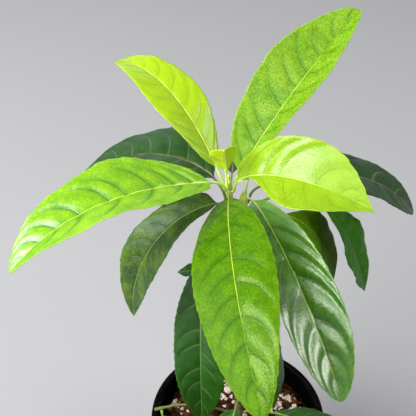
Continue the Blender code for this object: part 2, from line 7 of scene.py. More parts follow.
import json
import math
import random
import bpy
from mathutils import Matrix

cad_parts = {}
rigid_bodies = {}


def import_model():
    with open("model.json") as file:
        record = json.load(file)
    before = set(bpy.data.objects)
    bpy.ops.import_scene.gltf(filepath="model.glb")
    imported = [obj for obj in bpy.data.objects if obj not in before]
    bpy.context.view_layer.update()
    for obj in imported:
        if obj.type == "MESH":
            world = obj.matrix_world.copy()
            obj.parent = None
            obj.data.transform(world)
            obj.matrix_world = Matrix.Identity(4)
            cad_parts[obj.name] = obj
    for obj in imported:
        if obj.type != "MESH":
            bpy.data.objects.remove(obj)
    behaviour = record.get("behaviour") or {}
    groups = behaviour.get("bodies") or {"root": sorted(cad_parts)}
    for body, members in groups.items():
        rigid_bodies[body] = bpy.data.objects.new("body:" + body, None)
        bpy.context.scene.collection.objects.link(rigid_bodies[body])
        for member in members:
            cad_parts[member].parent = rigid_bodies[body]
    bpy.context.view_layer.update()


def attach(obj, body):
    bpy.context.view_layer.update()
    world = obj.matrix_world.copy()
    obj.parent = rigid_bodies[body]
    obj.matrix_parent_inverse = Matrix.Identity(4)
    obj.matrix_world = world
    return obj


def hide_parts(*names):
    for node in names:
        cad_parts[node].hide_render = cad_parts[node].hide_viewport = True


bl_info = {
    "name": "Potted rudraksha plant",
    "version": (1, 0, 0),
    "blender": (4, 5, 0),
    "location": "View3D > Sidebar > Rudraksha",
    "description": "Builds the finished pieces of a potted rudraksha plant round its packed model",
    "category": "Add Mesh",
}

import bmesh
import bpy
import numpy as np
from mathutils import Matrix, Vector, noise

for leftover in list(bpy.data.objects):
    bpy.data.objects.remove(leftover, do_unlink=True)
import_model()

# Pot, as in the model
POT_HEIGHT = 0.098
RIM_RADIUS = 0.0545
RIM_LIP = 0.0040
RIM_BAND = 0.0125
BAND_STEP = 0.0028
BASE_RADIUS = 0.039
WALL = 0.0016
FLOOR = 0.0022
DRAIN_HOLES = 8
DRAIN_RADIUS = 0.0036
# Tilt in degrees of the bars that cut the drain holes, height of their middles
# and their length
DRAIN_TILT = 42.0
DRAIN_HEIGHT = 0.0015
DRAIN_LENGTH = 0.016

# Height of the soil and gap between pieces, as in the model
SOIL_TOP = 0.084
GAP = 0.0003
# Grains, chips and strands keep inside SOIL_REACH and clear of the stem's middle.
SOIL_REACH = 0.0465
LUMP_CLEARANCE = 0.0052
FIBRE_CLEARANCE = 0.0042
CLUSTER_GRAINS = 13
CLUSTER_SPREAD = 0.0028

# How finely the pieces are made: points round the pot and a drain hole, points
# round the soil and its rings, points along and round a strand, and the size of
# a voxel when the stem's parts are fused
POT_STEPS = 192
DRAIN_SIDES = 40
SOIL_SIDES = 180
SOIL_RINGS = 64
FIBRE_STEPS = 14
FIBRE_SIDES = 5
STEM_VOXEL = 0.00032

# Stem, side shoot and twig, as in the model
STEM_BOTTOM = 0.070
STEM_TOP = 0.2865
STEM_LEAN_X = -0.009
STEM_LEAN_Y = -0.0005
STEM_BOW = 0.004
STEM_RADIUS_LOW = 0.0029
STEM_RADIUS_HIGH = 0.0013
SHOOT_BOTTOM = 0.228
SHOOT_TOP = 0.274
SHOOT_END_X = -0.0012
SHOOT_END_Y = 0.0038
SHOOT_RADIUS = 0.0017
SWELL = 1.06
TWIG_HEIGHT = 0.0983
TWIG_RADIUS = 0.0012
TWIG_LEAF_X = -0.0480
TWIG_LEAF_Y = 0.0017
# Bends of the twig after its start in the stem, as in the model, each with its
# height above TWIG_HEIGHT last
TWIG_BENDS = (
    (-0.010, 0.0015, 0.0018), (-0.024, 0.0045, 0.0030), (-0.038, 0.0045, 0.0030), (-0.0525, 0.0012, 0.0026),
)
# The finished twig is slimmer than the model's by one factor, and thicker than
# that at its start and its bends by the others.
TWIG_SLIMNESS = 0.70
TWIG_WIDTHS = (1.35, 1.10, 1.0, 1.0, 1.25)

# Leaf scars on the stem: height, and direction in degrees
SCARS = (
    (0.131, 40.0), (0.146, 200.0), (0.160, 335.0), (0.173, 110.0),
    (0.204, 255.0), (0.226, 60.0), (0.250, 150.0),
)
# Height of the fine ridges of the bark
RIDGE_HEIGHT = 0.00009

# Leaves, as in the model: radius that a stalk's foot is placed by, and how far
# the margin waves
STALK_RADIUS = 0.0011
MARGIN_WAVE = 0.0011
# Depth of the channel over the midrib, of the keel below it and of the ribs
# below the side veins, and height of the finest puckers
CHANNEL_DEPTH = 0.00022
KEEL_DEPTH = 0.00075
CORD_DEPTH = 0.00016
PUCKER_HEIGHT = 0.00006
# Each leaf: what it grows on, where its stalk starts and how its midrib runs.
# Lengths in millimetres and angles in degrees. heading is the compass direction,
# +X being 0 and +Y 90. stalk_rise, rise and droop are the slopes of the stalk and
# of the midrib at its start, and how far the slope falls by the tip. ease below 1
# bends the blade mostly near its base. swing turns the midrib sideways, roll and
# twist tilt the blade about it, fold lifts the two halves and camber bends them
# down again towards the margin. widest, tip and the two feet shape the outline.
# Leaves stand in the order of their seeds, from 1. The numbers are the model's.
# Most are rounded results of a least squares fit to places read off the
# photograph, so they match one view and aren't measures of the plant.
LEAF_FIELDS = (
    "on", "height", "heading", "stalk", "stalk_rise", "length", "width", "rise", "droop", "ease",
    "swing", "roll", "twist", "fold", "camber", "widest", "tip", "foot", "foot_right", "seed",
)
LEAF_VALUES = {
    "front": ("stem", 279, -94, 5, 44, 120, 37, 23, 60, 0.83, 20, 23, 7, 12, 10, 0.49, 0.63, 0.9, 0.6),
    "left": ("stem", 283, 208, 9, 66, 108, 39, 18, 63, 1.59, 3, -9, 18, 21, 1, 0.45, 0.64, 0.6, 0.83),
    "right": ("stem", 282, -36, 5.4, 85, 74.5, 39, 65, 82, 0.5, 8, 34, -13, 15, -10, 0.57, 1.25, 0.6, 2.6),
    "top_right": ("stem", 280, 42, 8, 82, 98, 41, 49, 16, 0.73, -5, -3, 6, 24, -8, 0.49, 0.6, 0.6, 1.15),
    "top_left": ("stem", 280, 134, 11, 57, 89, 27, 54, 86, 1.47, 0, -3, 1, 13, 5, 0.49, 0.94, 0.76, 0.76),
    "young_top": ("stem", 285, -104, 11, 75, 17, 16, 75, 3, 1.0, -6, 25, 7, 35, -1, 0.6, 0.68, 0.92, 0.92),
    "back_left": ("stem", 273, 140, 12, 71, 89, 42, 34, 76, 0.5, 35, -13, 25, 15, 7, 0.42, 0.71, 0.89, 0.86),
    "low_left": ("stem", 270, 189, 5, 78, 90, 27, 4, 97, 0.65, 24, 0, -26, 17, 5, 0.5, 0.99, 0.6, 0.32),
    "hang_left": ("stem", 238, 187, 23, 52, 137, 32, -88, 3, 0.75, 9, -42, -29, 15, 3, 0.53, 0.6, 0.68, 0.61),
    "small_left": ("stem", 214, 166, 17, 36, 16, 10, 4, 30, 0.75, -2, -2, 0, 14, 2, 0.5, 1.06, 1.1, 1.1),
    "hang_right": ("stem", 189, -17, 7, 13, 72, 30, -60, 29, 0.67, -8, -2, 13, 10, 8, 0.52, 0.94, 1.11, 1.11),
    "back": ("stem", 277, 84, 10, 60, 30, 14, 10, 70, 0.8, 20, 0, 0, 14, 6, 0.5, 1.0, 1.0, 1.0),
    "low_right": ("shoot", 271, -67, 10.5, 85, 106, 32, 14, 61, 0.5, 3, 10, 4, 23, -6, 0.59, 0.6, 0.67, 0.67),
    "back_right": ("shoot", 270, 21, 11, 84, 105, 29, 9, 66, 1.0, -9, -4, 29, 12, 6, 0.51, 0.6, 1.1, 1.1),
    "side_right": ("shoot", 264, 5, 42, 42, 70, 30, -39, 38, 0.5, -13, 10, 14, 17, 9, 0.49, 1.0, 1.12, 1.12),
    "under_right": ("shoot", 256, 4, 20, 46, 59, 34, -17, 67, 0.66, -10, 6, 14, 7, 7, 0.53, 0.97, 1.15, 1.15),
    "young_side": ("shoot", 270, 70, 10, 80, 24, 12, 52, 56, 0.97, -4, 0, 0, 20, 0, 0.5, 1.05, 1.1, 1.1),
    "low_front": ("stem", 116, -104, 8, 42, 84, 33, 10, 58, 0.9, -16, -4, 0, 10, 8, 0.48, 1.0, 0.8, 0.8),
    "low_front_left": ("twig", 101, -82, 3, 4, 70, 30, 10, 26, 1.0, 26, 4, 0, 10, 8, 0.45, 1.0, 0.62, 0.62),
    "low_front_right": ("stem", 102, -16, 18, 34, 76, 31, 4, 60, 0.95, -4, -6, 0, 9, 9, 0.51, 1.0, 1.1, 1.1),
}
LEAVES = {
    "leaf_" + name: dict(zip(LEAF_FIELDS, (*values, seed)))
    for seed, (name, values) in enumerate(LEAF_VALUES.items(), 1)
}

# What each leaf looks like: its skin, its slot, how strongly it is quilted
# between the side veins in millimetres, how far those lean to the tip as a
# share of the blade, and how many there are on a side. For the leaves in
# LEAF_VEINS that number only sets how wide the ribs below the blade are.
LEAF_FINISH = {
    "leaf_front": ("front", "leaf_mid", 0.95, 0.17, 7.0),
    "leaf_left": ("bright", "leaf_light", 1.35, 0.22, 8.0),
    "leaf_right": ("lime", "leaf_light", 1.05, 0.26, 6.5),
    "leaf_top_right": ("fresh", "leaf_mid", 0.38, 0.18, 9.0),
    "leaf_top_left": ("lemon", "leaf_light", 0.45, 0.18, 9.0),
    "leaf_young_top": ("young", "leaf_light", 0.15, 0.15, 5.0),
    "leaf_back_left": ("deep", "leaf_dark", 0.70, 0.18, 8.0),
    "leaf_low_left": ("streaked", "leaf_dark", 0.35, 0.16, 8.0),
    "leaf_hang_left": ("shade", "leaf_dark", 0.60, 0.16, 8.0),
    "leaf_small_left": ("shade", "leaf_dark", 0.15, 0.15, 5.0),
    "leaf_hang_right": ("shade", "leaf_dark", 0.40, 0.15, 8.0),
    "leaf_back": ("deep", "leaf_dark", 0.20, 0.15, 6.0),
    "leaf_low_right": ("glossy", "leaf_dark", 1.40, 0.25, 6.5),
    "leaf_back_right": ("dusk", "leaf_dark", 0.60, 0.18, 8.0),
    "leaf_side_right": ("fern", "leaf_dark", 0.50, 0.16, 8.0),
    "leaf_under_right": ("olive", "leaf_dark", 0.45, 0.16, 7.0),
    "leaf_young_side": ("fresh", "leaf_mid", 0.15, 0.15, 5.0),
    "leaf_low_front": ("shade", "leaf_dark", 0.50, 0.16, 8.0),
    "leaf_low_front_left": ("shade", "leaf_dark", 0.45, 0.16, 8.0),
    "leaf_low_front_right": ("shade", "leaf_dark", 0.45, 0.16, 8.0),
}

# Where side veins leave the midrib, as shares of the blade, on the side that
# lies to the left of the leaf's heading and then on the other side. They were
# read off the photograph, but for the last two leaves they are guessed.
LEAF_VEINS = {
    "leaf_front": (
        (0.10, 0.24, 0.42, 0.52, 0.65, 0.78, 0.90),
        (0.12, 0.26, 0.39, 0.48, 0.57, 0.65, 0.75, 0.87),
    ),
    "leaf_left": (
        (0.16, 0.30, 0.455, 0.62, 0.735, 0.85),
        (0.10, 0.19, 0.29, 0.415, 0.49, 0.63, 0.74, 0.825, 0.91),
    ),
    "leaf_right": (
        (0.10, 0.24, 0.36, 0.61, 0.77),
        (0.20, 0.40, 0.55, 0.70, 0.85),
    ),
    "leaf_top_right": (
        (0.05, 0.17, 0.25, 0.395, 0.51, 0.60, 0.70, 0.82, 0.92),
        (0.12, 0.24, 0.36, 0.48, 0.60, 0.72, 0.85),
    ),
    "leaf_low_right": (
        (0.07, 0.19, 0.32, 0.44, 0.64, 0.78, 0.90),
        (0.10, 0.21, 0.35, 0.51, 0.67, 0.79, 0.89),
    ),
    "leaf_hang_left": (
        (0.14, 0.27, 0.36, 0.52, 0.60, 0.76, 0.88),
        (0.10, 0.22, 0.38, 0.47, 0.63, 0.72, 0.86),
    ),
    "leaf_back_right": (
        (0.12, 0.30, 0.42, 0.62, 0.80),
        (0.16, 0.27, 0.48, 0.66, 0.78),
    ),
}
# How the swell between two side veins leans: under 1 it is steep just past a vein,
# over 1 just before the next one.
LEAF_SKEW = {
    "leaf_front": 1.5, "leaf_left": 1.4, "leaf_right": 1.4, "leaf_top_right": 1.2, "leaf_low_right": 1.5,
}
# Share of the blade over which the quilting grows from the foot.
LEAF_CALM = {"leaf_left": 0.14, "leaf_low_right": 0.45, "leaf_front": 0.30}
# Share of the quilting on the left and on the right of the leaf's heading. A
# weaker half mirrors the windows more evenly.
LEAF_SIDES = {"leaf_right": (1.0, 0.35), "leaf_front": (1.0, 0.5), "leaf_left": (0.5, 1.0)}

# Skins. First come display colours from 0 to 255: the blade, its lighter patches,
# side veins, net, midrib, margin, underside and stalk. Then how strong the
# patches, side veins and net are, how rough and how glossy the skin is, and how
# wide its midrib is in millimetres. The side veins' strength also sets the painted
# shade in the band round each vein. Last, where a skin needs them, the colour of
# its sheen, a factor that darkens all its colours, and the share of the blade
# where the midrib ends.
SKIN_COLOURS = ("blade", "patch", "vein", "net", "midrib", "margin", "under", "stalk")
SKIN_FIELDS = SKIN_COLOURS + (
    "patchiness", "vein_strength", "net_strength", "roughness", "gloss", "midrib_width",
    "sheen", "lightness", "midrib_end",
)
SKIN_DEFAULTS = {
    "sheen": (1.0, 1.0, 1.0), "lightness": 0.36, "midrib_end": 1.3,
    "coat": 0.0, "dull_from": 2.0, "dull_until": 3.0, "dull_side": 0.0, "vein_width": 0.034,
}
# Skins with a waxy coat, with broad veins, and skins that are dull between two
# shares of the blade: all over, or on the side that lies to the left (1) or
# right (-1) of the leaf's heading. The dull stretches keep the windows from
# showing where the photograph has no sheen.
SKIN_EXTRAS = {
    "shade": {"vein_width": 0.060},
    "deep": {"vein_width": 0.055},
    "dusk": {"vein_width": 0.060},
    "glossy": {"coat": 0.9, "dull_from": -1.0, "dull_until": 0.36, "dull_side": 1.0},
    "lime": {"dull_from": 0.52},
    "front": {"dull_from": 0.34, "dull_side": -1.0},
    "bright": {"dull_from": -1.0, "dull_side": 1.0},
}
# Midribs and stalks are lighter than the blade by these factors.
RIB_LIGHTNESS = 1.55
STALK_LIGHTNESS = 1.95
# The dull stretches: share of the blade over which one begins, and how much
# rougher it is.
DULL_EASE = 0.20
DULL_ROUGHNESS = 0.34
# Relief of veins, net and skin, as shares of a millimetre, and the light that
# passes through a blade.
VEIN_GROOVE = -0.10
NET_GROOVE = -0.035
FINE_GROOVE = -0.012
GRAIN_RISE = 0.03
GLOW_COLOUR = (0.3, 1.0, 0.1)
GLOW_DEPTH = 0.0012
SKIN_VALUES = {
    "lime": (
        (186, 236, 6), (200, 250, 30), (140, 200, 4), (166, 220, 4), (226, 250, 120), (226, 255, 50),
        (190, 236, 60), (206, 232, 110), 0.8, 0.17, 0.25, 0.26, 0.52, 0.26, (0.85, 1.0, 0.95), 0.335, 0.75,
    ),
    "lemon": (
        (206, 252, 10), (222, 255, 40), (166, 220, 4), (190, 240, 4), (236, 255, 130), (232, 255, 60),
        (196, 240, 60), (206, 232, 110), 0.6, 0.38, 0.25, 0.22, 0.42, 0.28, (0.80, 0.95, 1.0), 0.35, 0.9,
    ),
    "bright": (
        (148, 216, 4), (186, 246, 24), (70, 134, 0), (96, 166, 0), (206, 240, 96), (206, 246, 60),
        (150, 206, 50), (196, 226, 100), 1.0, 0.78, 0.40, 0.22, 0.78, 0.26, (0.82, 1.0, 0.96), 0.41, 1.0,
    ),
    "fresh": (
        (150, 212, 30), (188, 242, 60), (96, 160, 16), (116, 182, 16), (206, 236, 104), (190, 240, 60),
        (150, 200, 60), (190, 220, 100), 1.5, 0.62, 0.50, 0.28, 0.26, 0.24, (0.85, 1.0, 0.85), 0.32, 0.72,
    ),
    "front": (
        (104, 170, 0), (138, 204, 4), (60, 128, 0), (74, 146, 0), (206, 226, 84), (190, 232, 30),
        (120, 170, 50), (180, 206, 80), 1.2, 0.62, 0.70, 0.26, 0.34, 0.24, (0.88, 1.0, 0.42), 0.285, 0.74,
    ),
    "young": (
        (206, 240, 30), (220, 250, 50), (190, 224, 30), (200, 234, 26), (236, 250, 120), (232, 250, 90),
        (216, 244, 40), (216, 240, 110), 0.4, 0.40, 0.25, 0.42, 0.30, 0.28, (0.90, 1.0, 0.70), 0.50, 1.3,
    ),
    "glossy": (
        (80, 154, 14), (116, 186, 24), (36, 94, 6), (58, 124, 8), (190, 214, 92), (140, 196, 50),
        (96, 140, 60), (150, 178, 70), 1.0, 0.55, 0.60, 0.28, 1.0, 0.26, (0.94, 1.0, 0.78), 0.42, 1.3,
    ),
    "shade": (
        (42, 102, 20), (68, 138, 34), (134, 184, 100), (64, 126, 44), (150, 184, 96), (96, 156, 40),
        (86, 130, 60), (140, 166, 66), 0.9, 0.75, 0.60, 0.34, 0.30, 0.32, (0.9, 1.0, 0.90), 0.36, 1.3,
    ),
    "deep": (
        (34, 84, 22), (62, 118, 38), (146, 176, 124), (50, 104, 36), (150, 130, 74), (56, 108, 40),
        (84, 120, 66), (120, 140, 60), 0.9, 0.45, 0.60, 0.34, 0.60, 0.26,
    ),
    "dusk": (
        (38, 84, 28), (64, 116, 42), (136, 170, 116), (54, 104, 42), (150, 172, 120), (50, 100, 34),
        (76, 110, 56), (112, 130, 56), 0.8, 0.95, 0.60, 0.30, 0.46, 0.30, (0.9, 1.0, 0.8), 0.37,
    ),
    "streaked": (
        (56, 108, 34), (134, 172, 30), (100, 140, 60), (44, 90, 26), (150, 176, 90), (90, 140, 40),
        (88, 126, 60), (130, 156, 62), 1.0, 0.40, 0.45, 0.42, 0.42, 0.30, (0.85, 1.0, 0.95), 0.38,
    ),
    "fern": (
        (60, 140, 10), (86, 166, 14), (96, 160, 46), (46, 116, 6), (112, 162, 62), (76, 150, 24),
        (92, 136, 60), (124, 152, 56), 0.8, 0.35, 0.50, 0.40, 0.10, 0.26, (0.80, 1.0, 0.60), 0.40,
    ),
    # Olive's factor is far above the others' so that its colours paint light onto the lowest leaf of the side
    # shoot, which lies in the shade of the leaves above it.
    "olive": (
        (84, 128, 0), (108, 152, 4), (96, 130, 20), (64, 104, 0), (120, 150, 44), (90, 134, 10),
        (100, 140, 30), (110, 130, 44), 0.7, 0.30, 0.45, 0.46, 0.03, 0.26, (0.80, 1.0, 0.50), 0.78,
    ),
}
SKINS = {
    name: {**SKIN_DEFAULTS, **SKIN_EXTRAS.get(name, {}), **dict(zip(SKIN_FIELDS, values))}
    for name, values in SKIN_VALUES.items()
}

# Places of points across half a blade, as shares of its half width
HALF_COLUMNS = (0.0, 0.03, 0.07, 0.12, 0.19, 0.27, 0.36, 0.45, 0.54, 0.63, 0.72, 0.80, 0.87, 0.93, 0.97, 1.0)

# Camera, which stands where the photograph was taken from
CAMERA_PLACE = (-0.0187, -0.302, 0.525)
CAMERA_TILT = 49.7
CAMERA_LENS = 69.23
CAMERA_SENSOR = 36.0

# Lamps: name, setting that holds the power, azimuth and elevation in degrees
# seen from the crown, distance, width and height in metres, colour, and whether
# the plant mirrors it.
CROWN = (0.0, 0.0, 0.24)
WHITE = (1.0, 1.0, 1.0)
BLUISH = (0.86, 0.93, 1.0)
LAMPS = (
    ("window_left", "left_power", -107, 31, 1.5, 1.00, 0.42, WHITE, True),
    ("window_side", "side_power", -130, 45, 1.5, 0.48, 0.58, WHITE, True),
    ("window_right", "right_power", 110, 38, 1.7, 0.85, 0.66, WHITE, True),
    ("window_front", "front_power", -165, 45, 1.8, 0.40, 0.30, WHITE, True),
    ("fill", "fill_power", -112, 52, 1.8, 1.6, 1.6, WHITE, False),
    ("far_wall", "wall_power", 5, 14, 2.6, 3.2, 0.9, BLUISH, True),
)
SKY_COLOUR = (0.93, 0.95, 1.0, 1.0)
STAGE_ROWS = 24
STAGE_REACH = 6.0
STAGE_HEIGHT = -0.0002

# Middles of the groups of white grains on the soil, in millimetres, read off the
# photograph
GRAIN_CLUSTERS = (
    (-40.0, 18.0), (-9.0, 23.0), (-4.0, 29.0), (0.0, 35.0), (2.0, 21.0), (27.0, 16.0),
    (34.0, 21.0), (37.0, 17.0), (42.0, 26.0), (45.0, 18.0), (31.0, 11.0),
)


# Helpers


def linear(colour, scale=1.0):
    """Scene colour of a display colour from 0 to 255."""
    shares = [channel / 255.0 for channel in colour]
    return tuple(
        scale * (share / 12.92 if share <= 0.04045 else ((share + 0.055) / 1.055) ** 2.4) for share in shares
    ) + (1.0,)


def smooth_step(value):
    """Ease from 0 to 1, for numbers and arrays."""
    value = np.clip(value, 0.0, 1.0)
    return value * value * (3.0 - 2.0 * value)


def new_piece(name, points, faces, material, smooth=True):
    """Mesh object from points and faces."""
    mesh = bpy.data.meshes.new(name)
    mesh.from_pydata(np.asarray(points).tolist(), [], [list(face) for face in faces])
    mesh.validate()
    mesh.update()
    mesh.polygons.foreach_set("use_smooth", [smooth] * len(mesh.polygons))
    mesh.materials.append(material)
    piece = bpy.data.objects.new(name, mesh)
    bpy.context.scene.collection.objects.link(piece)
    return piece


def settle(piece):
    """Turn a piece's modifiers into its mesh."""
    bpy.context.view_layer.update()
    graph = bpy.context.evaluated_depsgraph_get()
    mesh = bpy.data.meshes.new_from_object(piece.evaluated_get(graph))
    piece.modifiers.clear()
    piece.data = mesh


def hand_over(piece, slot, *nodes):
    """Tie a finished piece to the plant."""
    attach(piece, "root")
    if nodes:
        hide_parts(*nodes)


def keep_values(mesh, name, values, kind="FLOAT"):
    """Keep a number or a vector at each point of a mesh, for its material."""
    attribute = mesh.attributes.new(name, kind, "POINT")
    field = "value" if kind == "FLOAT" else "vector"
    attribute.data.foreach_set(field, np.asarray(values, dtype=np.float32).ravel())


def circle_turns(sides):
    """Angles of points spaced evenly round a circle."""
    return 2.0 * np.pi * np.arange(sides) / sides


def level_ring(radius, height, turns):
    """Points of a level ring round the pot's axis."""
    return zip(radius * np.cos(turns), radius * np.sin(turns), [height] * len(turns))


def turned_faces(rings, sides):
    """Faces of a closed turned body made of a first point, its rings and a last point."""
    top = 1 + rings * sides
    faces = []
    for side in range(sides):
        after = (side + 1) % sides
        faces.append((0, 1 + after, 1 + side))
        for ring in range(rings - 1):
            low = 1 + ring * sides
            high = low + sides
            faces.append((low + side, low + after, high + after, high + side))
        last = top - sides
        faces.append((last + side, last + after, top))
    return faces


def tube(path, radii, sides):
    """Closed round tube along a path: its points and faces."""
    path = np.asarray(path, dtype=float)
    count = len(path)
    ways = np.gradient(path, axis=0)
    ways /= np.linalg.norm(ways, axis=1)[:, None]
    side = np.cross(ways[0], (0.31, 0.87, 0.38))
    side /= np.linalg.norm(side)
    angles = circle_turns(sides)
    points = []
    for place, way, radius in zip(path, ways, radii):
        side = side - way * np.dot(side, way)
        side /= np.linalg.norm(side)
        other = np.cross(way, side)
        ring = place + radius * (np.cos(angles)[:, None] * side + np.sin(angles)[:, None] * other)
        points.append(ring)
    points.append(np.array([path[0], path[-1]]))
    faces = []
    first_middle = count * sides
    for step in range(sides):
        after = (step + 1) % sides
        for ring in range(count - 1):
            low = ring * sides
            high = low + sides
            faces.append((low + step, low + after, high + after, high + step))
        faces.append((first_middle, after, step))
        last = (count - 1) * sides
        faces.append((first_middle + 1, last + step, last + after))
    return np.concatenate(points), faces


def joined(parts):
    """Points and faces of several tubes as one mesh."""
    points = []
    faces = []
    total = 0
    for part_points, part_faces in parts:
        points.append(part_points)
        faces.extend(tuple(total + index for index in face) for face in part_faces)
        total += len(part_points)
    return np.concatenate(points), faces


def bump(place, middle, spread, height):
    """Height of a soft bump at a place."""
    return height * math.exp(-(((place - middle) / spread) ** 2))


# Material building


def feed(tree, socket, value):
    """Give a socket a number or a colour, or join it to another node's output."""
    if isinstance(value, bpy.types.NodeSocket):
        tree.links.new(value, socket)
    else:
        socket.default_value = value


def add_node(tree, kind, inputs=None, **settings):
    """Node with its settings and inputs. An input is a number, a colour or another node's output."""
    node = tree.nodes.new(kind)
    for name, value in settings.items():
        setattr(node, name, value)
    for name, value in (inputs or {}).items():
        feed(tree, node.inputs[name], value)
    return node


def maths(tree, operation, first, second=0.0, clamp=False):
    """One step of arithmetic."""
    inputs = {0: first, 1: second}
    return add_node(tree, "ShaderNodeMath", inputs, operation=operation, use_clamp=clamp).outputs[0]


def times(tree, first, second, clamp=False):
    """Product of two values."""
    return maths(tree, "MULTIPLY", first, second, clamp)


def plus(tree, first, second):
    """Sum of two values."""
    return maths(tree, "ADD", first, second)


def minus(tree, first, second):
    """First value less the second."""
    return maths(tree, "SUBTRACT", first, second)


def vector_maths(tree, operation, first, second):
    """One step of arithmetic with vectors."""
    return add_node(tree, "ShaderNodeVectorMath", {0: first, 1: second}, operation=operation).outputs[0]


def span(tree, value, low, high, start=0.0, end=1.0):
    """Value eased from low..high to start..end."""
    inputs = {"Value": value, "From Min": low, "From Max": high, "To Min": start, "To Max": end}
    return add_node(tree, "ShaderNodeMapRange", inputs, interpolation_type="SMOOTHSTEP").outputs[0]


def mix(tree, share, first, second):
    """Colour between two colours."""
    inputs = {0: share, 6: first, 7: second}
    return add_node(tree, "ShaderNodeMix", inputs, data_type="RGBA").outputs[2]


def object_place(tree):
    """Place of a point in its object, in metres."""
    return add_node(tree, "ShaderNodeTexCoord").outputs["Object"]


def kept_value(tree, name, output):
    """Value that a mesh keeps at each of its points."""
    return add_node(tree, "ShaderNodeAttribute", attribute_name=name).outputs[output]


def noise_texture(tree, place, scale, detail, **others):
    """Outputs of a noise texture."""
    inputs = {"Vector": place, "Scale": scale, "Detail": detail, **others}
    return add_node(tree, "ShaderNodeTexNoise", inputs).outputs


def new_group(name, inputs, outputs):
    """Shader node group of number sockets: its tree, its input node and its output node."""
    tree = bpy.data.node_groups.new(name, "ShaderNodeTree")
    for label, value in inputs:
        socket = tree.interface.new_socket(label, in_out="INPUT", socket_type="NodeSocketFloat")
        socket.default_value = value
    for label in outputs:
        tree.interface.new_socket(label, in_out="OUTPUT", socket_type="NodeSocketFloat")
    return tree, tree.nodes.new("NodeGroupInput"), tree.nodes.new("NodeGroupOutput")


def use_group(tree, name, inputs):
    """Place a node group in a material and give its outputs."""
    return add_node(tree, "ShaderNodeGroup", inputs, node_tree=bpy.data.node_groups[name]).outputs


def net_lines(tree, flat, net_size):
    """Lines of a leaf's coarse and fine net."""
    bent = noise_texture(tree, flat, 0.45, 2.0)
    nudged = vector_maths(tree, "MULTIPLY", bent["Color"], (1.6, 1.6, 0.0))
    plane = vector_maths(tree, "MULTIPLY", flat, (1.0, 1.0, 0.0))
    moved = vector_maths(tree, "ADD", plane, nudged)
    lines = []
    for size, width in ((1.0, 0.20), (0.42, 0.24)):
        scale = maths(tree, "DIVIDE", 1.0, times(tree, net_size, size))
        inputs = {"Vector": moved, "Scale": scale}
        cells = add_node(
            tree, "ShaderNodeTexVoronoi", inputs, feature="DISTANCE_TO_EDGE", voronoi_dimensions="2D"
        )
        lines.append(span(tree, cells.outputs["Distance"], width, 0.0))
    return lines


def make_leaf_map():
    """Group: where midrib, side veins, net, margin, stalk and underside lie on a leaf, and the band round
    each side vein that carries painted shade.
    """
    inputs = (("Midrib width", 0.30), ("Midrib end", 1.3), ("Vein width", 0.034), ("Net size", 1.9))
    labels = (
        "Midrib", "Side veins", "Vein hollow", "Net", "Fine net", "Margin", "Stalk", "Underside",
        "Along", "Across",
    )
    tree, given, made = new_group("Leaf map", inputs, labels)
    rib_width, rib_stop, vein_width, net_size = (given.outputs[label] for label, _ in inputs)
    flat = kept_value(tree, "leaf_flat", "Vector")
    vein = kept_value(tree, "leaf_vein", "Vector")
    share = kept_value(tree, "leaf_share", "Fac")
    place = add_node(tree, "ShaderNodeSeparateXYZ", {0: flat})
    parts = add_node(tree, "ShaderNodeSeparateXYZ", {0: vein})
    from_middle = maths(tree, "ABSOLUTE", place.outputs["Y"])
    from_edge = minus(tree, place.outputs["Z"], from_middle)
    taper = plus(tree, span(tree, share, 0.0, 1.0, 1.0, 0.35), span(tree, share, 0.0, 0.30, 0.9, 0.0))
    rib = times(tree, rib_width, taper)
    rib_end = plus(tree, rib, 0.14)
    midrib = span(tree, from_middle, rib_end, times(tree, rib, 0.5))
    fading = minus(tree, rib_stop, 0.16)
    midrib = times(tree, midrib, span(tree, share, rib_stop, fading))

    wobble = noise_texture(tree, flat, 0.16, 2.0)
    shift = times(tree, minus(tree, wobble["Fac"], 0.5), 0.10)
    phase = plus(tree, parts.outputs["X"], shift)
    beyond = maths(tree, "ABSOLUTE", minus(tree, maths(tree, "FRACT", phase), 0.5))
    off_vein = minus(tree, 0.5, beyond)
    fade = times(tree, span(tree, parts.outputs["Y"], 0.90, 0.45), span(tree, share, 0.01, 0.07), clamp=True)
    line = span(tree, off_vein, vein_width, times(tree, vein_width, 0.2))
    # Band round each side vein, where the colour paints shade into the vein grooves. On the dark skins, whose
    # net is paler, it is a pale band of the veins' own colour.
    vein_band_shade = span(tree, off_vein, 0.22, 0.0)
    net, fine_net = net_lines(tree, flat, net_size)
    values = {
        "Midrib": midrib,
        "Side veins": times(tree, line, fade),
        "Vein hollow": times(tree, vein_band_shade, fade),
        "Net": net,
        "Fine net": fine_net,
        "Margin": span(tree, from_edge, 0.48, 0.10),
        "Stalk": span(tree, share, 0.012, -0.02),
        "Underside": span(tree, parts.outputs["Z"], 0.3, 0.7),
        "Along": share,
        "Across": place.outputs["Y"],
    }
    for label, value in values.items():
        tree.links.new(value, made.inputs[label])


def make_mottling():
    """Group: soft uneven patches at two sizes."""
    tree, given, made = new_group("Mottling", (("Size", 0.012),), ("Mask", "Fine"))
    place = object_place(tree)
    scale = maths(tree, "DIVIDE", 1.0, given.outputs["Size"])
    large = noise_texture(tree, place, scale, 3.0, Roughness=0.6)
    small = noise_texture(tree, place, times(tree, scale, 5.0), 2.0, Roughness=0.6)
    tree.links.new(span(tree, large["Fac"], 0.36, 0.66), made.inputs["Mask"])
    tree.links.new(small["Fac"], made.inputs["Fine"])


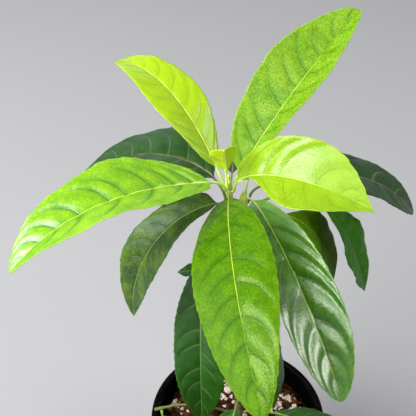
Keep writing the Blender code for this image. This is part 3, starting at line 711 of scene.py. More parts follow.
def make_speckle():
    """Group: small round specks, such as lenticels, crumbs or dust."""
    tree, given, made = new_group("Specks", (("Size", 0.001), ("Amount", 0.3), ("Stretch", 1.0)), ("Mask",))
    place = object_place(tree)
    squeeze = add_node(tree, "ShaderNodeCombineXYZ", {"X": 1.0, "Y": 1.0, "Z": given.outputs["Stretch"]})
    squeezed = vector_maths(tree, "MULTIPLY", place, squeeze.outputs[0])
    scale = maths(tree, "DIVIDE", 1.0, given.outputs["Size"])
    cells = add_node(tree, "ShaderNodeTexVoronoi", {"Vector": squeezed, "Scale": scale}, feature="F1")
    chosen = add_node(tree, "ShaderNodeSeparateColor", {"Color": cells.outputs["Color"]}).outputs[0]
    kept = maths(tree, "LESS_THAN", chosen, given.outputs["Amount"])
    spot = span(tree, cells.outputs["Distance"], 0.42, 0.22)
    tree.links.new(times(tree, spot, kept), made.inputs["Mask"])


def new_material(name):
    """Material with its tree and its main shader."""
    material = bpy.data.materials.new(name)
    material.use_nodes = True
    return material, material.node_tree, material.node_tree.nodes["Principled BSDF"]


def finish_surface(tree, shader, colour=None, roughness=None, height=None, distance=0.001, strength=1.0):
    """Join colour, roughness and relief to the main shader."""
    if colour is not None:
        tree.links.new(colour, shader.inputs["Base Color"])
    if roughness is not None:
        tree.links.new(roughness, shader.inputs["Roughness"])
    if height is not None:
        inputs = {"Height": height, "Strength": strength, "Distance": distance}
        tree.links.new(add_node(tree, "ShaderNodeBump", inputs).outputs[0], shader.inputs["Normal"])


def leaf_colour(tree, skin, chart, mottling):
    """Colour of a leaf: patches, net, veins and painted shade in the vein grooves above, a paler underside,
    and the stalk.
    """
    tint = {field: linear(skin[field], skin["lightness"]) for field in SKIN_COLOURS}
    for field, scale in (("midrib", RIB_LIGHTNESS), ("stalk", STALK_LIGHTNESS)):
        tint[field] = linear(skin[field], scale * skin["lightness"])
    patches = times(tree, mottling["Mask"], skin["patchiness"])
    colour = mix(tree, patches, tint["blade"], tint["patch"])
    flecks = times(tree, span(tree, mottling["Fine"], 0.42, 0.66), 0.35 * skin["patchiness"])
    colour = mix(tree, flecks, colour, tint["patch"])
    shadows = times(tree, span(tree, mottling["Fine"], 0.52, 0.30), 0.24 * skin["patchiness"])
    colour = mix(tree, shadows, colour, tint["net"])
    # Painted shade in the vein grooves: the band round each side vein is mixed toward the net colour. That
    # colour is darker than the blade on most skins and paler on the dark ones.
    vein_band_shade = times(tree, chart["Vein hollow"], 0.95 * skin["vein_strength"])
    colour = mix(tree, vein_band_shade, colour, tint["net"])
    for label, share in (("Net", 0.75), ("Fine net", 0.5)):
        threads = times(tree, chart[label], share * skin["net_strength"])
        colour = mix(tree, threads, colour, tint["net"])
    veins = times(tree, chart["Side veins"], 0.8 * skin["vein_strength"])
    colour = mix(tree, veins, colour, tint["vein"])
    colour = mix(tree, chart["Midrib"], colour, tint["midrib"])
    colour = mix(tree, times(tree, chart["Margin"], 0.55), colour, tint["margin"])
    below = mix(tree, times(tree, chart["Side veins"], 0.7), tint["under"], tint["stalk"])
    below = mix(tree, times(tree, chart["Net"], 0.35), below, tint["blade"])
    below = mix(tree, chart["Midrib"], below, tint["midrib"])
    colour = mix(tree, chart["Underside"], colour, below)
    return mix(tree, chart["Stalk"], colour, tint["stalk"])


def dull_stretch(tree, skin, chart):
    """Mask of the stretch where a skin is dull."""
    worn = span(tree, chart["Along"], skin["dull_from"], skin["dull_from"] + DULL_EASE)
    worn = times(tree, worn, span(tree, chart["Along"], skin["dull_until"], skin["dull_until"] - DULL_EASE))
    if skin["dull_side"]:
        beside = span(tree, times(tree, chart["Across"], skin["dull_side"]), -0.5, 2.0)
        worn = times(tree, worn, beside)
    return worn


def leaf_grooves(tree, chart, mottling):
    """Relief of side veins, net and skin, which stands out where the other side sinks in."""
    grooves = times(tree, chart["Side veins"], VEIN_GROOVE)
    finer = ((chart["Net"], NET_GROOVE), (chart["Fine net"], FINE_GROOVE), (mottling["Fine"], GRAIN_RISE))
    for mask, depth in finer:
        grooves = plus(tree, grooves, times(tree, mask, depth))
    turned = minus(tree, 1.0, times(tree, chart["Underside"], 2.0))
    return times(tree, grooves, turned)


def leaf_material(name, skin, settings):
    """Leaf skin: glossy above, paler and duller below, with veins, net and bright margin."""
    material, tree, shader = new_material(name)
    widths = {
        "Midrib width": skin["midrib_width"],
        "Midrib end": skin["midrib_end"],
        "Vein width": skin["vein_width"],
    }
    chart = use_group(tree, "Leaf map", widths)
    mottling = use_group(tree, "Mottling", {"Size": 0.0075})
    colour = leaf_colour(tree, skin, chart, mottling)
    dull = times(tree, chart["Underside"], 0.22)
    uneven = times(tree, mottling["Fine"], 0.10)
    roughness = plus(tree, plus(tree, dull, uneven), skin["roughness"] - 0.05)
    worn = dull_stretch(tree, skin, chart)
    roughness = plus(tree, roughness, times(tree, worn, DULL_ROUGHNESS))
    height = leaf_grooves(tree, chart, mottling)
    finish_surface(tree, shader, colour, roughness, height, 0.001, settings.relief)
    coat = times(tree, minus(tree, 1.0, worn), skin["coat"])
    tree.links.new(coat, shader.inputs["Coat Weight"])
    for label, value in (
        ("Specular IOR Level", skin["gloss"]),
        ("Specular Tint", skin["sheen"] + (1.0,)),
        ("Coat Roughness", skin["roughness"]),
        ("Subsurface Weight", settings.glow),
        ("Subsurface Radius", GLOW_COLOUR),
        ("Subsurface Scale", GLOW_DEPTH),
    ):
        shader.inputs[label].default_value = value
    return material


def pot_material(settings):
    """Black moulded plastic, scuffed outside and dusty at the lip and near the soil."""
    material, tree, shader = new_material("pot_plastic")
    mottling = use_group(tree, "Mottling", {"Size": 0.009})
    specks = use_group(tree, "Specks", {"Size": 0.0016, "Amount": 0.22})["Mask"]
    place = object_place(tree)
    height = add_node(tree, "ShaderNodeSeparateXYZ", {0: place}).outputs["Z"]
    low = span(tree, height, 0.030, 0.0)
    lip = span(tree, height, 0.094, 0.0985)
    dusty = maths(tree, "MAXIMUM", low, times(tree, lip, 0.10))
    dust = times(tree, times(tree, dusty, mottling["Mask"]), 0.55)
    stretched = vector_maths(tree, "MULTIPLY", place, (1.0, 1.0, 0.12))
    scuffs = noise_texture(tree, stretched, 520.0, 3.0)
    scuff = span(tree, scuffs["Fac"], 0.60, 0.78)
    colour = mix(tree, times(tree, scuff, 0.35), tuple(settings.colour), (0.005, 0.005, 0.0055, 1.0))
    colour = mix(tree, dust, colour, tuple(settings.dust_colour))
    crumbs = times(tree, specks, times(tree, dusty, 0.5))
    colour = mix(tree, crumbs, colour, (0.04, 0.024, 0.016, 1.0))
    roughness = plus(tree, times(tree, mottling["Fine"], 0.16), settings.roughness - 0.08)
    roughness = plus(tree, roughness, times(tree, dust, 0.4))
    grain = noise_texture(tree, place, 2600.0, 2.0)["Fac"]
    relief = plus(tree, times(tree, grain, 0.006), times(tree, scuff, 0.006))
    finish_surface(tree, shader, colour, roughness, relief)
    shader.inputs["Specular IOR Level"].default_value = 0.035
    return material


def soil_material(settings):
    """Damp bark and coir."""
    material, tree, shader = new_material("soil_mix")
    mottling = use_group(tree, "Mottling", {"Size": 0.004})
    crumbs = use_group(tree, "Specks", {"Size": 0.0011, "Amount": 0.35})["Mask"]
    colour = mix(tree, mottling["Mask"], tuple(settings.dark_colour), tuple(settings.colour))
    colour = mix(tree, times(tree, crumbs, 0.6), colour, (0.12, 0.052, 0.018, 1.0))
    relief = plus(tree, mottling["Fine"], times(tree, crumbs, 0.5))
    roughness = span(tree, mottling["Fine"], 0.3, 0.7, 0.72, 0.95)
    finish_surface(tree, shader, colour, roughness, relief, 0.0006)
    shader.inputs["Specular IOR Level"].default_value = 0.06
    return material


def chip_material(settings):
    """Bark chips, each a tone of its own, with a fibrous grain."""
    material, tree, shader = new_material("bark_chips")
    tone = kept_value(tree, "tone", "Fac")
    place = object_place(tree)
    fibres = noise_texture(tree, place, 900.0, 4.0, Distortion=1.2)["Fac"]
    colour = mix(tree, tone, tuple(settings.dark_colour), tuple(settings.chip_colour))
    colour = mix(tree, span(tree, fibres, 0.45, 0.75, 0.0, 0.5), colour, (0.11, 0.046, 0.014, 1.0))
    roughness = span(tree, fibres, 0.3, 0.7, 0.60, 0.90)
    finish_surface(tree, shader, colour, roughness, fibres, 0.0005)
    shader.inputs["Specular IOR Level"].default_value = 0.08
    return material


def grain_material(settings):
    """White perlite, pitted and a little soiled."""
    material, tree, shader = new_material("perlite")
    mottling = use_group(tree, "Mottling", {"Size": 0.0016})
    tone = kept_value(tree, "tone", "Fac")
    soiled = times(tree, mottling["Mask"], times(tree, tone, 0.6))
    colour = mix(tree, soiled, tuple(settings.grain_colour), (0.32, 0.21, 0.12, 1.0))
    pits = use_group(tree, "Specks", {"Size": 0.0005, "Amount": 0.6})["Mask"]
    relief = minus(tree, mottling["Fine"], times(tree, pits, 0.6))
    finish_surface(tree, shader, colour, span(tree, pits, 0.0, 1.0, 0.7, 0.95), relief, 0.0004)
    return material


def fibre_material():
    """Coir strands."""
    material, tree, shader = new_material("coir")
    tone = kept_value(tree, "tone", "Fac")
    mottling = use_group(tree, "Mottling", {"Size": 0.002})
    colour = mix(tree, tone, (0.036, 0.014, 0.006, 1.0), (0.12, 0.052, 0.019, 1.0))
    colour = mix(tree, times(tree, mottling["Mask"], 0.4), colour, (0.03, 0.013, 0.008, 1.0))
    roughness = span(tree, mottling["Fine"], 0.3, 0.7, 0.65, 0.90)
    finish_surface(tree, shader, colour, roughness, mottling["Fine"], 0.0001)
    return material


def stem_material(settings):
    """Young bark: brown and corky low down, green at the top, where painted light brightens it, with pale
    lenticels.
    """
    material, tree, shader = new_material("stem_bark")
    place = object_place(tree)
    height = add_node(tree, "ShaderNodeSeparateXYZ", {0: place}).outputs["Z"]
    mottling = use_group(tree, "Mottling", {"Size": 0.006})
    lenticels = use_group(tree, "Specks", {"Size": 0.0011, "Amount": 0.25, "Stretch": 0.6})["Mask"]
    uneven = times(tree, minus(tree, mottling["Fine"], 0.5), 0.05)
    young = span(tree, plus(tree, height, uneven), 0.150, 0.262)
    across = vector_maths(tree, "MULTIPLY", place, (1.0, 1.0, 0.0))
    from_stem = add_node(tree, "ShaderNodeVectorMath", {0: across}, operation="LENGTH").outputs["Value"]
    twig = times(tree, span(tree, from_stem, 0.012, 0.030), span(tree, height, 0.125, 0.115))
    # Painted light: the upper stem's young colour is lighter than its green bark, to stand in for light that
    # the crown's shade keeps off.
    colour = mix(tree, young, tuple(settings.old_colour), tuple(settings.young_and_lit_colour))
    colour = mix(tree, twig, colour, tuple(settings.twig_colour))
    knot = times(tree, span(tree, height, 0.262, 0.268), span(tree, height, 0.280, 0.272))
    colour = mix(tree, times(tree, knot, 0.10), colour, (0.10, 0.060, 0.030, 1.0))
    colour = mix(tree, times(tree, mottling["Mask"], 0.20), colour, (0.09, 0.075, 0.030, 1.0))
    pale = times(tree, lenticels, span(tree, young, 0.0, 1.0, 0.8, 0.25))
    colour = mix(tree, pale, colour, (0.36, 0.30, 0.17, 1.0))
    stretched = vector_maths(tree, "MULTIPLY", place, (1.0, 1.0, 0.15))
    grain = noise_texture(tree, stretched, 1800.0, 3.0)["Fac"]
    relief = plus(tree, grain, times(tree, lenticels, 0.8))
    roughness = span(tree, young, 0.0, 1.0, 0.75, 0.48)
    finish_surface(tree, shader, colour, roughness, relief, 0.00012)
    return material


def floor_material(settings):
    """Pale plain floor."""
    material, tree, shader = new_material("pale_floor")
    place = object_place(tree)
    cloud = noise_texture(tree, place, 3.0, 2.0)["Fac"]
    base = tuple(settings.floor_colour)
    darker = tuple(0.96 * value for value in base[:3]) + (1.0,)
    finish_surface(tree, shader, mix(tree, cloud, base, darker))
    shader.inputs["Roughness"].default_value = 0.8
    shader.inputs["Specular IOR Level"].default_value = 0.2
    return material


# Stage


def light_place(azimuth, elevation, distance):
    """Point at a bearing from the crown. Azimuth 0 is behind the plant (+Y) and 90 to its right (+X)."""
    turn = math.radians(azimuth)
    rise = math.radians(elevation)
    way = Vector((math.sin(turn) * math.cos(rise), math.cos(turn) * math.cos(rise), math.sin(rise)))
    return Vector(CROWN) + distance * way


def add_lamp(name, power, place, width, height, colour, mirrored):
    """Soft rectangular light that looks at the crown. One that isn't mirrored makes no highlights."""
    light = bpy.data.lights.new(name, "AREA")
    light.shape = "RECTANGLE"
    light.size = width
    light.size_y = height
    light.energy = power
    light.color = colour
    lamp = bpy.data.objects.new(name, light)
    lamp.location = place
    lamp.rotation_euler = (Vector(CROWN) - place).to_track_quat("-Z", "Y").to_euler()
    lamp.visible_camera = False
    lamp.visible_glossy = mirrored
    bpy.context.scene.collection.objects.link(lamp)


def build_stage(settings):
    """Floor, lights, sky and camera."""
    points = []
    faces = []
    for row in range(STAGE_ROWS + 1):
        for column in range(STAGE_ROWS + 1):
            across = STAGE_REACH * (2.0 * column / STAGE_ROWS - 1.0)
            back = STAGE_REACH * (2.0 * row / STAGE_ROWS - 1.0)
            points.append((across, back, STAGE_HEIGHT))
    for row in range(STAGE_ROWS):
        for column in range(STAGE_ROWS):
            first = row * (STAGE_ROWS + 1) + column
            after = first + STAGE_ROWS + 1
            faces.append((first, first + 1, after + 1, after))
    floor = new_piece("floor", points, faces, floor_material(settings), smooth=False)

    for name, setting, azimuth, elevation, distance, width, height, colour, mirrored in LAMPS:
        place = light_place(azimuth, elevation, distance)
        add_lamp(name, getattr(settings, setting), place, width, height, colour, mirrored)

    world = bpy.data.worlds.new("soft_room")
    bpy.context.scene.world = world
    world.use_nodes = True
    sky = world.node_tree.nodes["Background"]
    sky.inputs["Color"].default_value = SKY_COLOUR
    sky.inputs["Strength"].default_value = settings.room_light

    lens = bpy.data.cameras.new("camera")
    lens.lens = CAMERA_LENS
    lens.sensor_width = CAMERA_SENSOR
    lens.clip_start = 0.01
    lens.clip_end = 60.0
    camera = bpy.data.objects.new("camera", lens)
    camera.location = CAMERA_PLACE
    camera.rotation_euler = (math.radians(CAMERA_TILT), 0.0, 0.0)
    bpy.context.scene.collection.objects.link(camera)
    bpy.context.scene.camera = camera
    bpy.context.scene.view_settings.view_transform = "Standard"
    bpy.context.scene.view_settings.look = "None"


# Pot


def rounded(profile, passes=2):
    """Open line with its corners cut round."""
    for _ in range(passes):
        cut = [profile[0]]
        for here, after in zip(profile, profile[1:]):
            cut.append(tuple(0.75 * a + 0.25 * b for a, b in zip(here, after)))
            cut.append(tuple(0.25 * a + 0.75 * b for a, b in zip(here, after)))
        cut.append(profile[-1])
        profile = cut
    return profile


def pot_profile():
    """Line that the pot is turned from: its underside, outside, rim, inside and floor."""
    inner_top = RIM_RADIUS - RIM_LIP
    wall_top = POT_HEIGHT - RIM_BAND
    outer_top = RIM_RADIUS - BAND_STEP
    return rounded([
        (0.0, 0.0),
        (BASE_RADIUS - 0.0060, 0.0),
        (BASE_RADIUS - 0.0011, 0.0),
        (BASE_RADIUS + 0.0001, 0.0009),
        (BASE_RADIUS + 0.0006, 0.0030),
        (BASE_RADIUS + 0.0010, 0.0060),
        (outer_top - 0.0006, wall_top - 0.0060),
        (outer_top - 0.0002, wall_top - 0.0008),
        (outer_top + 0.0002, wall_top - 0.0001),
        (RIM_RADIUS - 0.0007, wall_top),
        (RIM_RADIUS - 0.0002, wall_top + 0.0006),
        (RIM_RADIUS - 0.0002, wall_top + 0.0040),
        (RIM_RADIUS, POT_HEIGHT - 0.0030),
        (RIM_RADIUS, POT_HEIGHT - 0.0008),
        (RIM_RADIUS - 0.0006, POT_HEIGHT),
        (RIM_RADIUS - 0.0020, POT_HEIGHT + 0.0001),
        (inner_top + 0.0008, POT_HEIGHT),
        (inner_top + 0.0001, POT_HEIGHT - 0.0006),
        (inner_top - 0.0001, POT_HEIGHT - 0.0030),
        (inner_top - 0.0003, wall_top + 0.0012),
        (outer_top - WALL, wall_top - 0.0010),
        (BASE_RADIUS - 0.0010, FLOOR + 0.0012),
        (BASE_RADIUS - 0.0022, FLOOR),
        (BASE_RADIUS - 0.0080, FLOOR),
        (0.0, FLOOR),
    ])


def drain_cutter():
    """Round bars that stand where the drain holes are."""
    sheet = bmesh.new()
    reach = BASE_RADIUS - 0.001
    for index in range(DRAIN_HOLES):
        turn = 2.0 * math.pi * (index + 0.5) / DRAIN_HOLES
        tilt = Matrix.Rotation(turn, 4, "Z") @ Matrix.Rotation(math.radians(DRAIN_TILT), 4, "Y")
        place = Matrix.Translation((reach * math.cos(turn), reach * math.sin(turn), DRAIN_HEIGHT)) @ tilt
        bmesh.ops.create_cone(
            sheet, cap_ends=True, segments=DRAIN_SIDES, radius1=DRAIN_RADIUS, radius2=DRAIN_RADIUS,
            depth=DRAIN_LENGTH, matrix=place,
        )
    mesh = bpy.data.meshes.new("drain_cutter")
    sheet.to_mesh(mesh)
    sheet.free()
    cutter = bpy.data.objects.new("drain_cutter", mesh)
    bpy.context.scene.collection.objects.link(cutter)
    return cutter


def build_pot(settings):
    """Pot turned from one profile, with drain holes cut at the foot."""
    line = pot_profile()
    turns = circle_turns(POT_STEPS)
    points = [(0.0, 0.0, line[0][1])]
    for radius, height in line[1:-1]:
        points.extend(level_ring(radius, height, turns))
    points.append((0.0, 0.0, line[-1][1]))
    faces = turned_faces(len(line) - 2, POT_STEPS)
    pot = new_piece("pot_shell", points, faces, pot_material(settings))

    cutter = drain_cutter()
    cut = pot.modifiers.new("Drain", "BOOLEAN")
    cut.operation = "DIFFERENCE"
    cut.solver = "EXACT"
    cut.object = cutter
    settle(pot)
    bpy.data.objects.remove(cutter, do_unlink=True)
    pot.data.polygons.foreach_set("use_smooth", [True] * len(pot.data.polygons))
    hand_over(pot, "pot", "pot")


# Soil


def inner_wall_radius(height):
    """Inner radius of the pot at a height below its rim band."""
    low = FLOOR + 0.0012
    high = POT_HEIGHT - RIM_BAND - 0.0010
    share = (height - low) / (high - low)
    return (BASE_RADIUS - 0.0010) + (RIM_RADIUS - BAND_STEP - WALL - BASE_RADIUS + 0.0010) * share


def soil_height(across, back):
    """Height of the soil's top at a place."""
    place = Vector((across, back, 0.0))
    lumps = 0.0011 * noise.noise(place * 70.0) + 0.0008 * noise.noise(place * 190.0 + Vector((3.0, 0.0, 5.0)))
    crumbs = 0.0005 * noise.noise(place * 480.0 + Vector((0.0, 7.0, 0.0)))
    radius = math.hypot(across, back)
    edge = 0.0012 * max(0.0, (radius - 0.040) / 0.0095)
    return SOIL_TOP + lumps + crumbs - edge


def build_soil(settings):
    """Soil plug with a finely lumpy top."""
    bottom = FLOOR + GAP
    shoulder = FLOOR + 0.0022
    edge_height = SOIL_TOP - 0.0022
    outer = inner_wall_radius(edge_height) - GAP
    turns = circle_turns(SOIL_SIDES)
    points = [(0.0, 0.0, bottom)]
    for radius, height in (
        (BASE_RADIUS - 0.0030, bottom),
        (inner_wall_radius(shoulder) - GAP - 0.0002, shoulder),
        (outer, edge_height),
    ):
        points.extend(level_ring(radius, height, turns))
    for ring in range(SOIL_RINGS):
        radius = (outer - 0.0001) * (1.0 - ring / SOIL_RINGS)
        for turn in turns + 0.01 * ring:
            across = radius * math.cos(turn)
            back = radius * math.sin(turn)
            points.append((across, back, soil_height(across, back)))
    points.append((0.0, 0.0, SOIL_TOP))
    faces = turned_faces(3 + SOIL_RINGS, SOIL_SIDES)
    soil = new_piece("soil_plug", points, faces, soil_material(settings))
    hand_over(soil, "soil", "soil")


def ball_template():
    """Points and faces of an even ball of radius 1."""
    sheet = bmesh.new()
    bmesh.ops.create_icosphere(sheet, subdivisions=2, radius=1.0)
    points = np.array([vertex.co for vertex in sheet.verts])
    faces = np.array([[vertex.index for vertex in face.verts] for face in sheet.faces])
    sheet.free()
    return points, faces


def turned_at_random(source, flat):
    """Random rotation. flat from 0 to 1 keeps the third axis near upright."""
    tilt = (1.0 - flat) * math.pi * source.random() + flat * source.gauss(0.0, 0.28)
    way = source.uniform(0.0, 2.0 * math.pi)
    lean = Matrix.Rotation(tilt, 3, Vector((math.cos(way), math.sin(way), 0.0)))
    return np.array(lean @ Matrix.Rotation(source.uniform(0.0, 2.0 * math.pi), 3, "Z"))


def scatter_lumps(name, places, sizes, roughness, flat, source, material):
    """Many irregular lumps lying on the soil, as one piece."""
    ball, ball_faces = ball_template()
    points = []
    faces = []
    tones = []
    for (across, back), (long, wide, high) in zip(places, sizes):
        offset = Vector((source.uniform(-50, 50), source.uniform(-50, 50), source.uniform(-50, 50)))
        swell = np.array([
            1.0 + roughness * noise.noise(Vector(point) * 1.5 + offset)
            + 0.5 * roughness * noise.noise(Vector(point) * 3.4 - offset)
            for point in ball
        ])
        shape = ball * swell[:, None] * np.array((long, wide, high))
        shape = shape @ turned_at_random(source, flat).T
        lowest = shape[:, 2].min()
        tallest = shape[:, 2].max() - lowest
        sunk = tallest * source.uniform(0.15, 0.45)
        shape = shape + np.array((across, back, soil_height(across, back) - lowest - sunk))
        points.append(shape)
        faces.append(ball_faces + len(ball) * len(faces))
        tones.append(np.full(len(ball), source.random()))
    piece = new_piece(name, np.concatenate(points), np.concatenate(faces), material)
    keep_values(piece.data, "tone", np.concatenate(tones))
    hand_over(piece, "soil")


def stem_distance(place):
    """Distance of a place on the soil from the middle of the stem."""
    return math.hypot(place[0] - stem_point(SOIL_TOP)[0], place[1])


def random_place(source, reach):
    """Even random place on the soil, clear of the stem."""
    while True:
        radius = reach * math.sqrt(source.random())
        turn = source.uniform(0.0, 2.0 * math.pi)
        place = (radius * math.cos(turn), radius * math.sin(turn))
        if stem_distance(place) > LUMP_CLEARANCE:
            return place


def build_chips(settings):
    """Bark chips bedded in the soil."""
    source = random.Random(21)
    places = []
    sizes = []
    for _ in range(settings.chip_count):
        long = source.uniform(0.0012, 0.0042)
        places.append(random_place(source, 0.0455))
        sizes.append((long, long * source.uniform(0.4, 0.8), long * source.uniform(0.18, 0.40)))
    scatter_lumps("soil_bark_chips", places, sizes, 0.55, 0.85, source, chip_material(settings))


def build_grains(settings):
    """White perlite grains, loose and in clusters."""
    source = random.Random(33)
    places = []
    sizes = []
    for _ in range(settings.grain_count):
        places.append(random_place(source, 0.0460))
    for across, back in GRAIN_CLUSTERS:
        for _ in range(CLUSTER_GRAINS):
            place = (
                0.001 * across + source.gauss(0.0, CLUSTER_SPREAD),
                0.001 * back + source.gauss(0.0, CLUSTER_SPREAD),
            )
            if math.hypot(*place) < SOIL_REACH and stem_distance(place) > LUMP_CLEARANCE:
                places.append(place)
    for _ in places:
        size = source.uniform(0.0007, 0.0020)
        sizes.append((size, size * source.uniform(0.7, 1.0), size * source.uniform(0.6, 0.9)))
    scatter_lumps("soil_perlite", places, sizes, 0.42, 0.0, source, grain_material(settings))


def coir_strand(source):
    """Tube that lies over the soil and turns away from the pot's wall and the stem."""
    across, back = random_place(source, 0.041)
    way = source.uniform(0.0, 2.0 * math.pi)
    bend = source.uniform(-9.0, 9.0)
    length = source.uniform(0.006, 0.016)
    radius = source.uniform(0.00010, 0.00022)
    lift = source.uniform(0.0003, 0.0016)
    stride = length / (FIBRE_STEPS - 1)
    path = []
    radii = []
    for step in range(FIBRE_STEPS):
        share = step / (FIBRE_STEPS - 1)
        arch = lift * math.sin(math.pi * share)
        path.append((across, back, soil_height(across, back) + radius * 1.5 + arch))
        radii.append(radius * (1.0 - 0.5 * abs(2 * step / (FIBRE_STEPS - 1) - 1)))
        turn = way + bend * 0.1 * (share - 0.5) * 2.0
        ahead = (across + stride * math.cos(turn), back + stride * math.sin(turn))
        if math.hypot(*ahead) < SOIL_REACH and stem_distance(ahead) > FIBRE_CLEARANCE:
            across, back = ahead
        else:
            way += 1.2
    return tube(path, radii, FIBRE_SIDES)


def build_fibres(settings):
    """Coir strands lying over the soil."""
    source = random.Random(45)
    strands = []
    tones = []
    for _ in range(settings.fibre_count):
        strand = coir_strand(source)
        strands.append(strand)
        tones.append(np.full(len(strand[0]), source.random()))
    points, faces = joined(strands)
    piece = new_piece("soil_coir_strands", points, faces, fibre_material())
    keep_values(piece.data, "tone", np.concatenate(tones))
    hand_over(piece, "soil")


# Stem


def stem_point(height):
    """Middle of the main stem at a height."""
    share = (height - STEM_BOTTOM) / (STEM_TOP - STEM_BOTTOM)
    across = STEM_LEAN_X * share + STEM_BOW * math.sin(math.pi * share)
    return np.array((across, STEM_LEAN_Y * share, height))


def stem_radius(height):
    """Radius of the main stem at a height."""
    share = (height - STEM_BOTTOM) / (STEM_TOP - STEM_BOTTOM)
    return STEM_RADIUS_LOW + (STEM_RADIUS_HIGH - STEM_RADIUS_LOW) * share


def shoot_point(height):
    """Middle of the side shoot at a height."""
    share = (height - SHOOT_BOTTOM) / (SHOOT_TOP - SHOOT_BOTTOM)
    reach = math.sin(min(max(share, 0.0), 1.0) * math.pi / 2.0) ** 0.8 if share > 0.0 else 0.0
    start = stem_point(SHOOT_BOTTOM)
    across = start[0] + (SHOOT_END_X - start[0]) * reach
    back = start[1] + (SHOOT_END_Y - start[1]) * reach
    return np.array((across, back, height))


def end_bud(foot, height, radius, rings):
    """Pointed bud that stands on a foot."""
    path = [foot + np.array((0.0, 0.0, rise)) for rise in np.linspace(-0.001, height, rings)]
    radii = [radius * math.sin(math.pi * (0.45 + 0.53 * ring / (rings - 1))) for ring in range(rings)]
    return tube(path, radii, 24)


def node_heights(carrier):
    """Heights at which leaves grow on the main stem or on the side shoot."""
    return [leaf["height"] * 0.001 for leaf in LEAVES.values() if leaf["on"] == carrier]


def main_stem():
    """Main stem, a little thicker at its leaves and its scars."""
    heights = np.linspace(STEM_BOTTOM, STEM_TOP, 140)
    nodes = node_heights("stem")
    radii = []
    for height in heights:
        swell = sum(bump(height, node, 0.0022, 0.16) for node in nodes)
        ring = sum(bump(height, scar, 0.0011, 0.10) for scar, _ in SCARS)
        radii.append(stem_radius(height) * (1.0 + min(swell, 0.22) + ring))
    return tube([stem_point(height) for height in heights], radii, 40)


def side_shoot():
    """Side shoot, which starts inside the main stem."""
    heights = np.linspace(SHOOT_BOTTOM - 0.004, SHOOT_TOP, 60)
    nodes = node_heights("shoot")
    radii = []
    for height in heights:
        swell = sum(bump(height, node, 0.0018, 0.18) for node in nodes)
        radii.append(SHOOT_RADIUS * (0.88 + min(swell, 0.26)))
    radii[0] = SHOOT_RADIUS * 0.5
    return tube([shoot_point(height) for height in heights], radii, 32)


def cut_twig():
    """Thin twig from the stem to the left of the rim, with a joint near its cut end."""
    bends = [(across, back, TWIG_HEIGHT + rise) for across, back, rise in TWIG_BENDS]
    knots = np.array([stem_point(TWIG_HEIGHT - 0.001), *bends])
    shares = np.linspace(0.0, 4.0, 50)
    path = np.stack([np.interp(shares, np.arange(5), knots[:, axis]) for axis in range(3)], axis=1)
    for _ in range(6):
        path[1:-1] = 0.25 * path[:-2] + 0.5 * path[1:-1] + 0.25 * path[2:]
    radii = []
    for share in shares:
        scale = np.interp(share, np.arange(5), TWIG_WIDTHS)
        joint = bump(share, 3.70, 0.12, 0.22) + bump(share, 1.9, 0.08, 0.10)
        radii.append(TWIG_SLIMNESS * TWIG_RADIUS * (scale + joint))
    return tube(path, radii, 28)


def leaf_scar(height, way):
    """Scar of a fallen leaf, which stands a little out of the main stem."""
    middle = stem_point(height)
    out = np.array((math.cos(math.radians(way)), math.sin(math.radians(way)), 0.25))
    radius = stem_radius(height)
    path = [middle + out * radius * reach for reach in (0.4, 0.9, 1.18, 1.26)]
    return tube(path, (0.0008, 0.0011, 0.0009, 0.0004), 16)


def add_ridges(mesh):
    """Raise fine upright ridges on a mesh."""
    places = np.empty(3 * len(mesh.vertices))
    normals = np.empty(3 * len(mesh.vertices))
    mesh.vertices.foreach_get("co", places)
    mesh.vertex_normals.foreach_get("vector", normals)
    places = places.reshape(-1, 3)
    ridges = np.array([noise.noise(Vector(place)) for place in places * (900.0, 900.0, 120.0)])
    places += normals.reshape(-1, 3) * (RIDGE_HEIGHT * ridges)[:, None]
    mesh.vertices.foreach_set("co", places.ravel())
    mesh.update()


def build_stem(settings):
    """Main stem, side shoot and cut twig fused into one body, with leaf scars and end buds."""
    points, faces = joined([
        main_stem(),
        end_bud(stem_point(STEM_TOP), 0.0042, 0.0011, 12),
        side_shoot(),
        end_bud(shoot_point(SHOOT_TOP), 0.0032, 0.0012, 10),
        cut_twig(),
        *(leaf_scar(height, way) for height, way in SCARS),
    ])
    stem = new_piece("stem_wood", points, faces, stem_material(settings))
    fuse = stem.modifiers.new("Fuse", "REMESH")
    fuse.mode = "VOXEL"
    fuse.voxel_size = STEM_VOXEL
    fuse.use_smooth_shade = True
    soften = stem.modifiers.new("Soften", "SMOOTH")
    soften.factor = 0.5
    soften.iterations = 3
    settle(stem)
    add_ridges(stem.data)
    hand_over(stem, "stem", "stem")


# Leaves


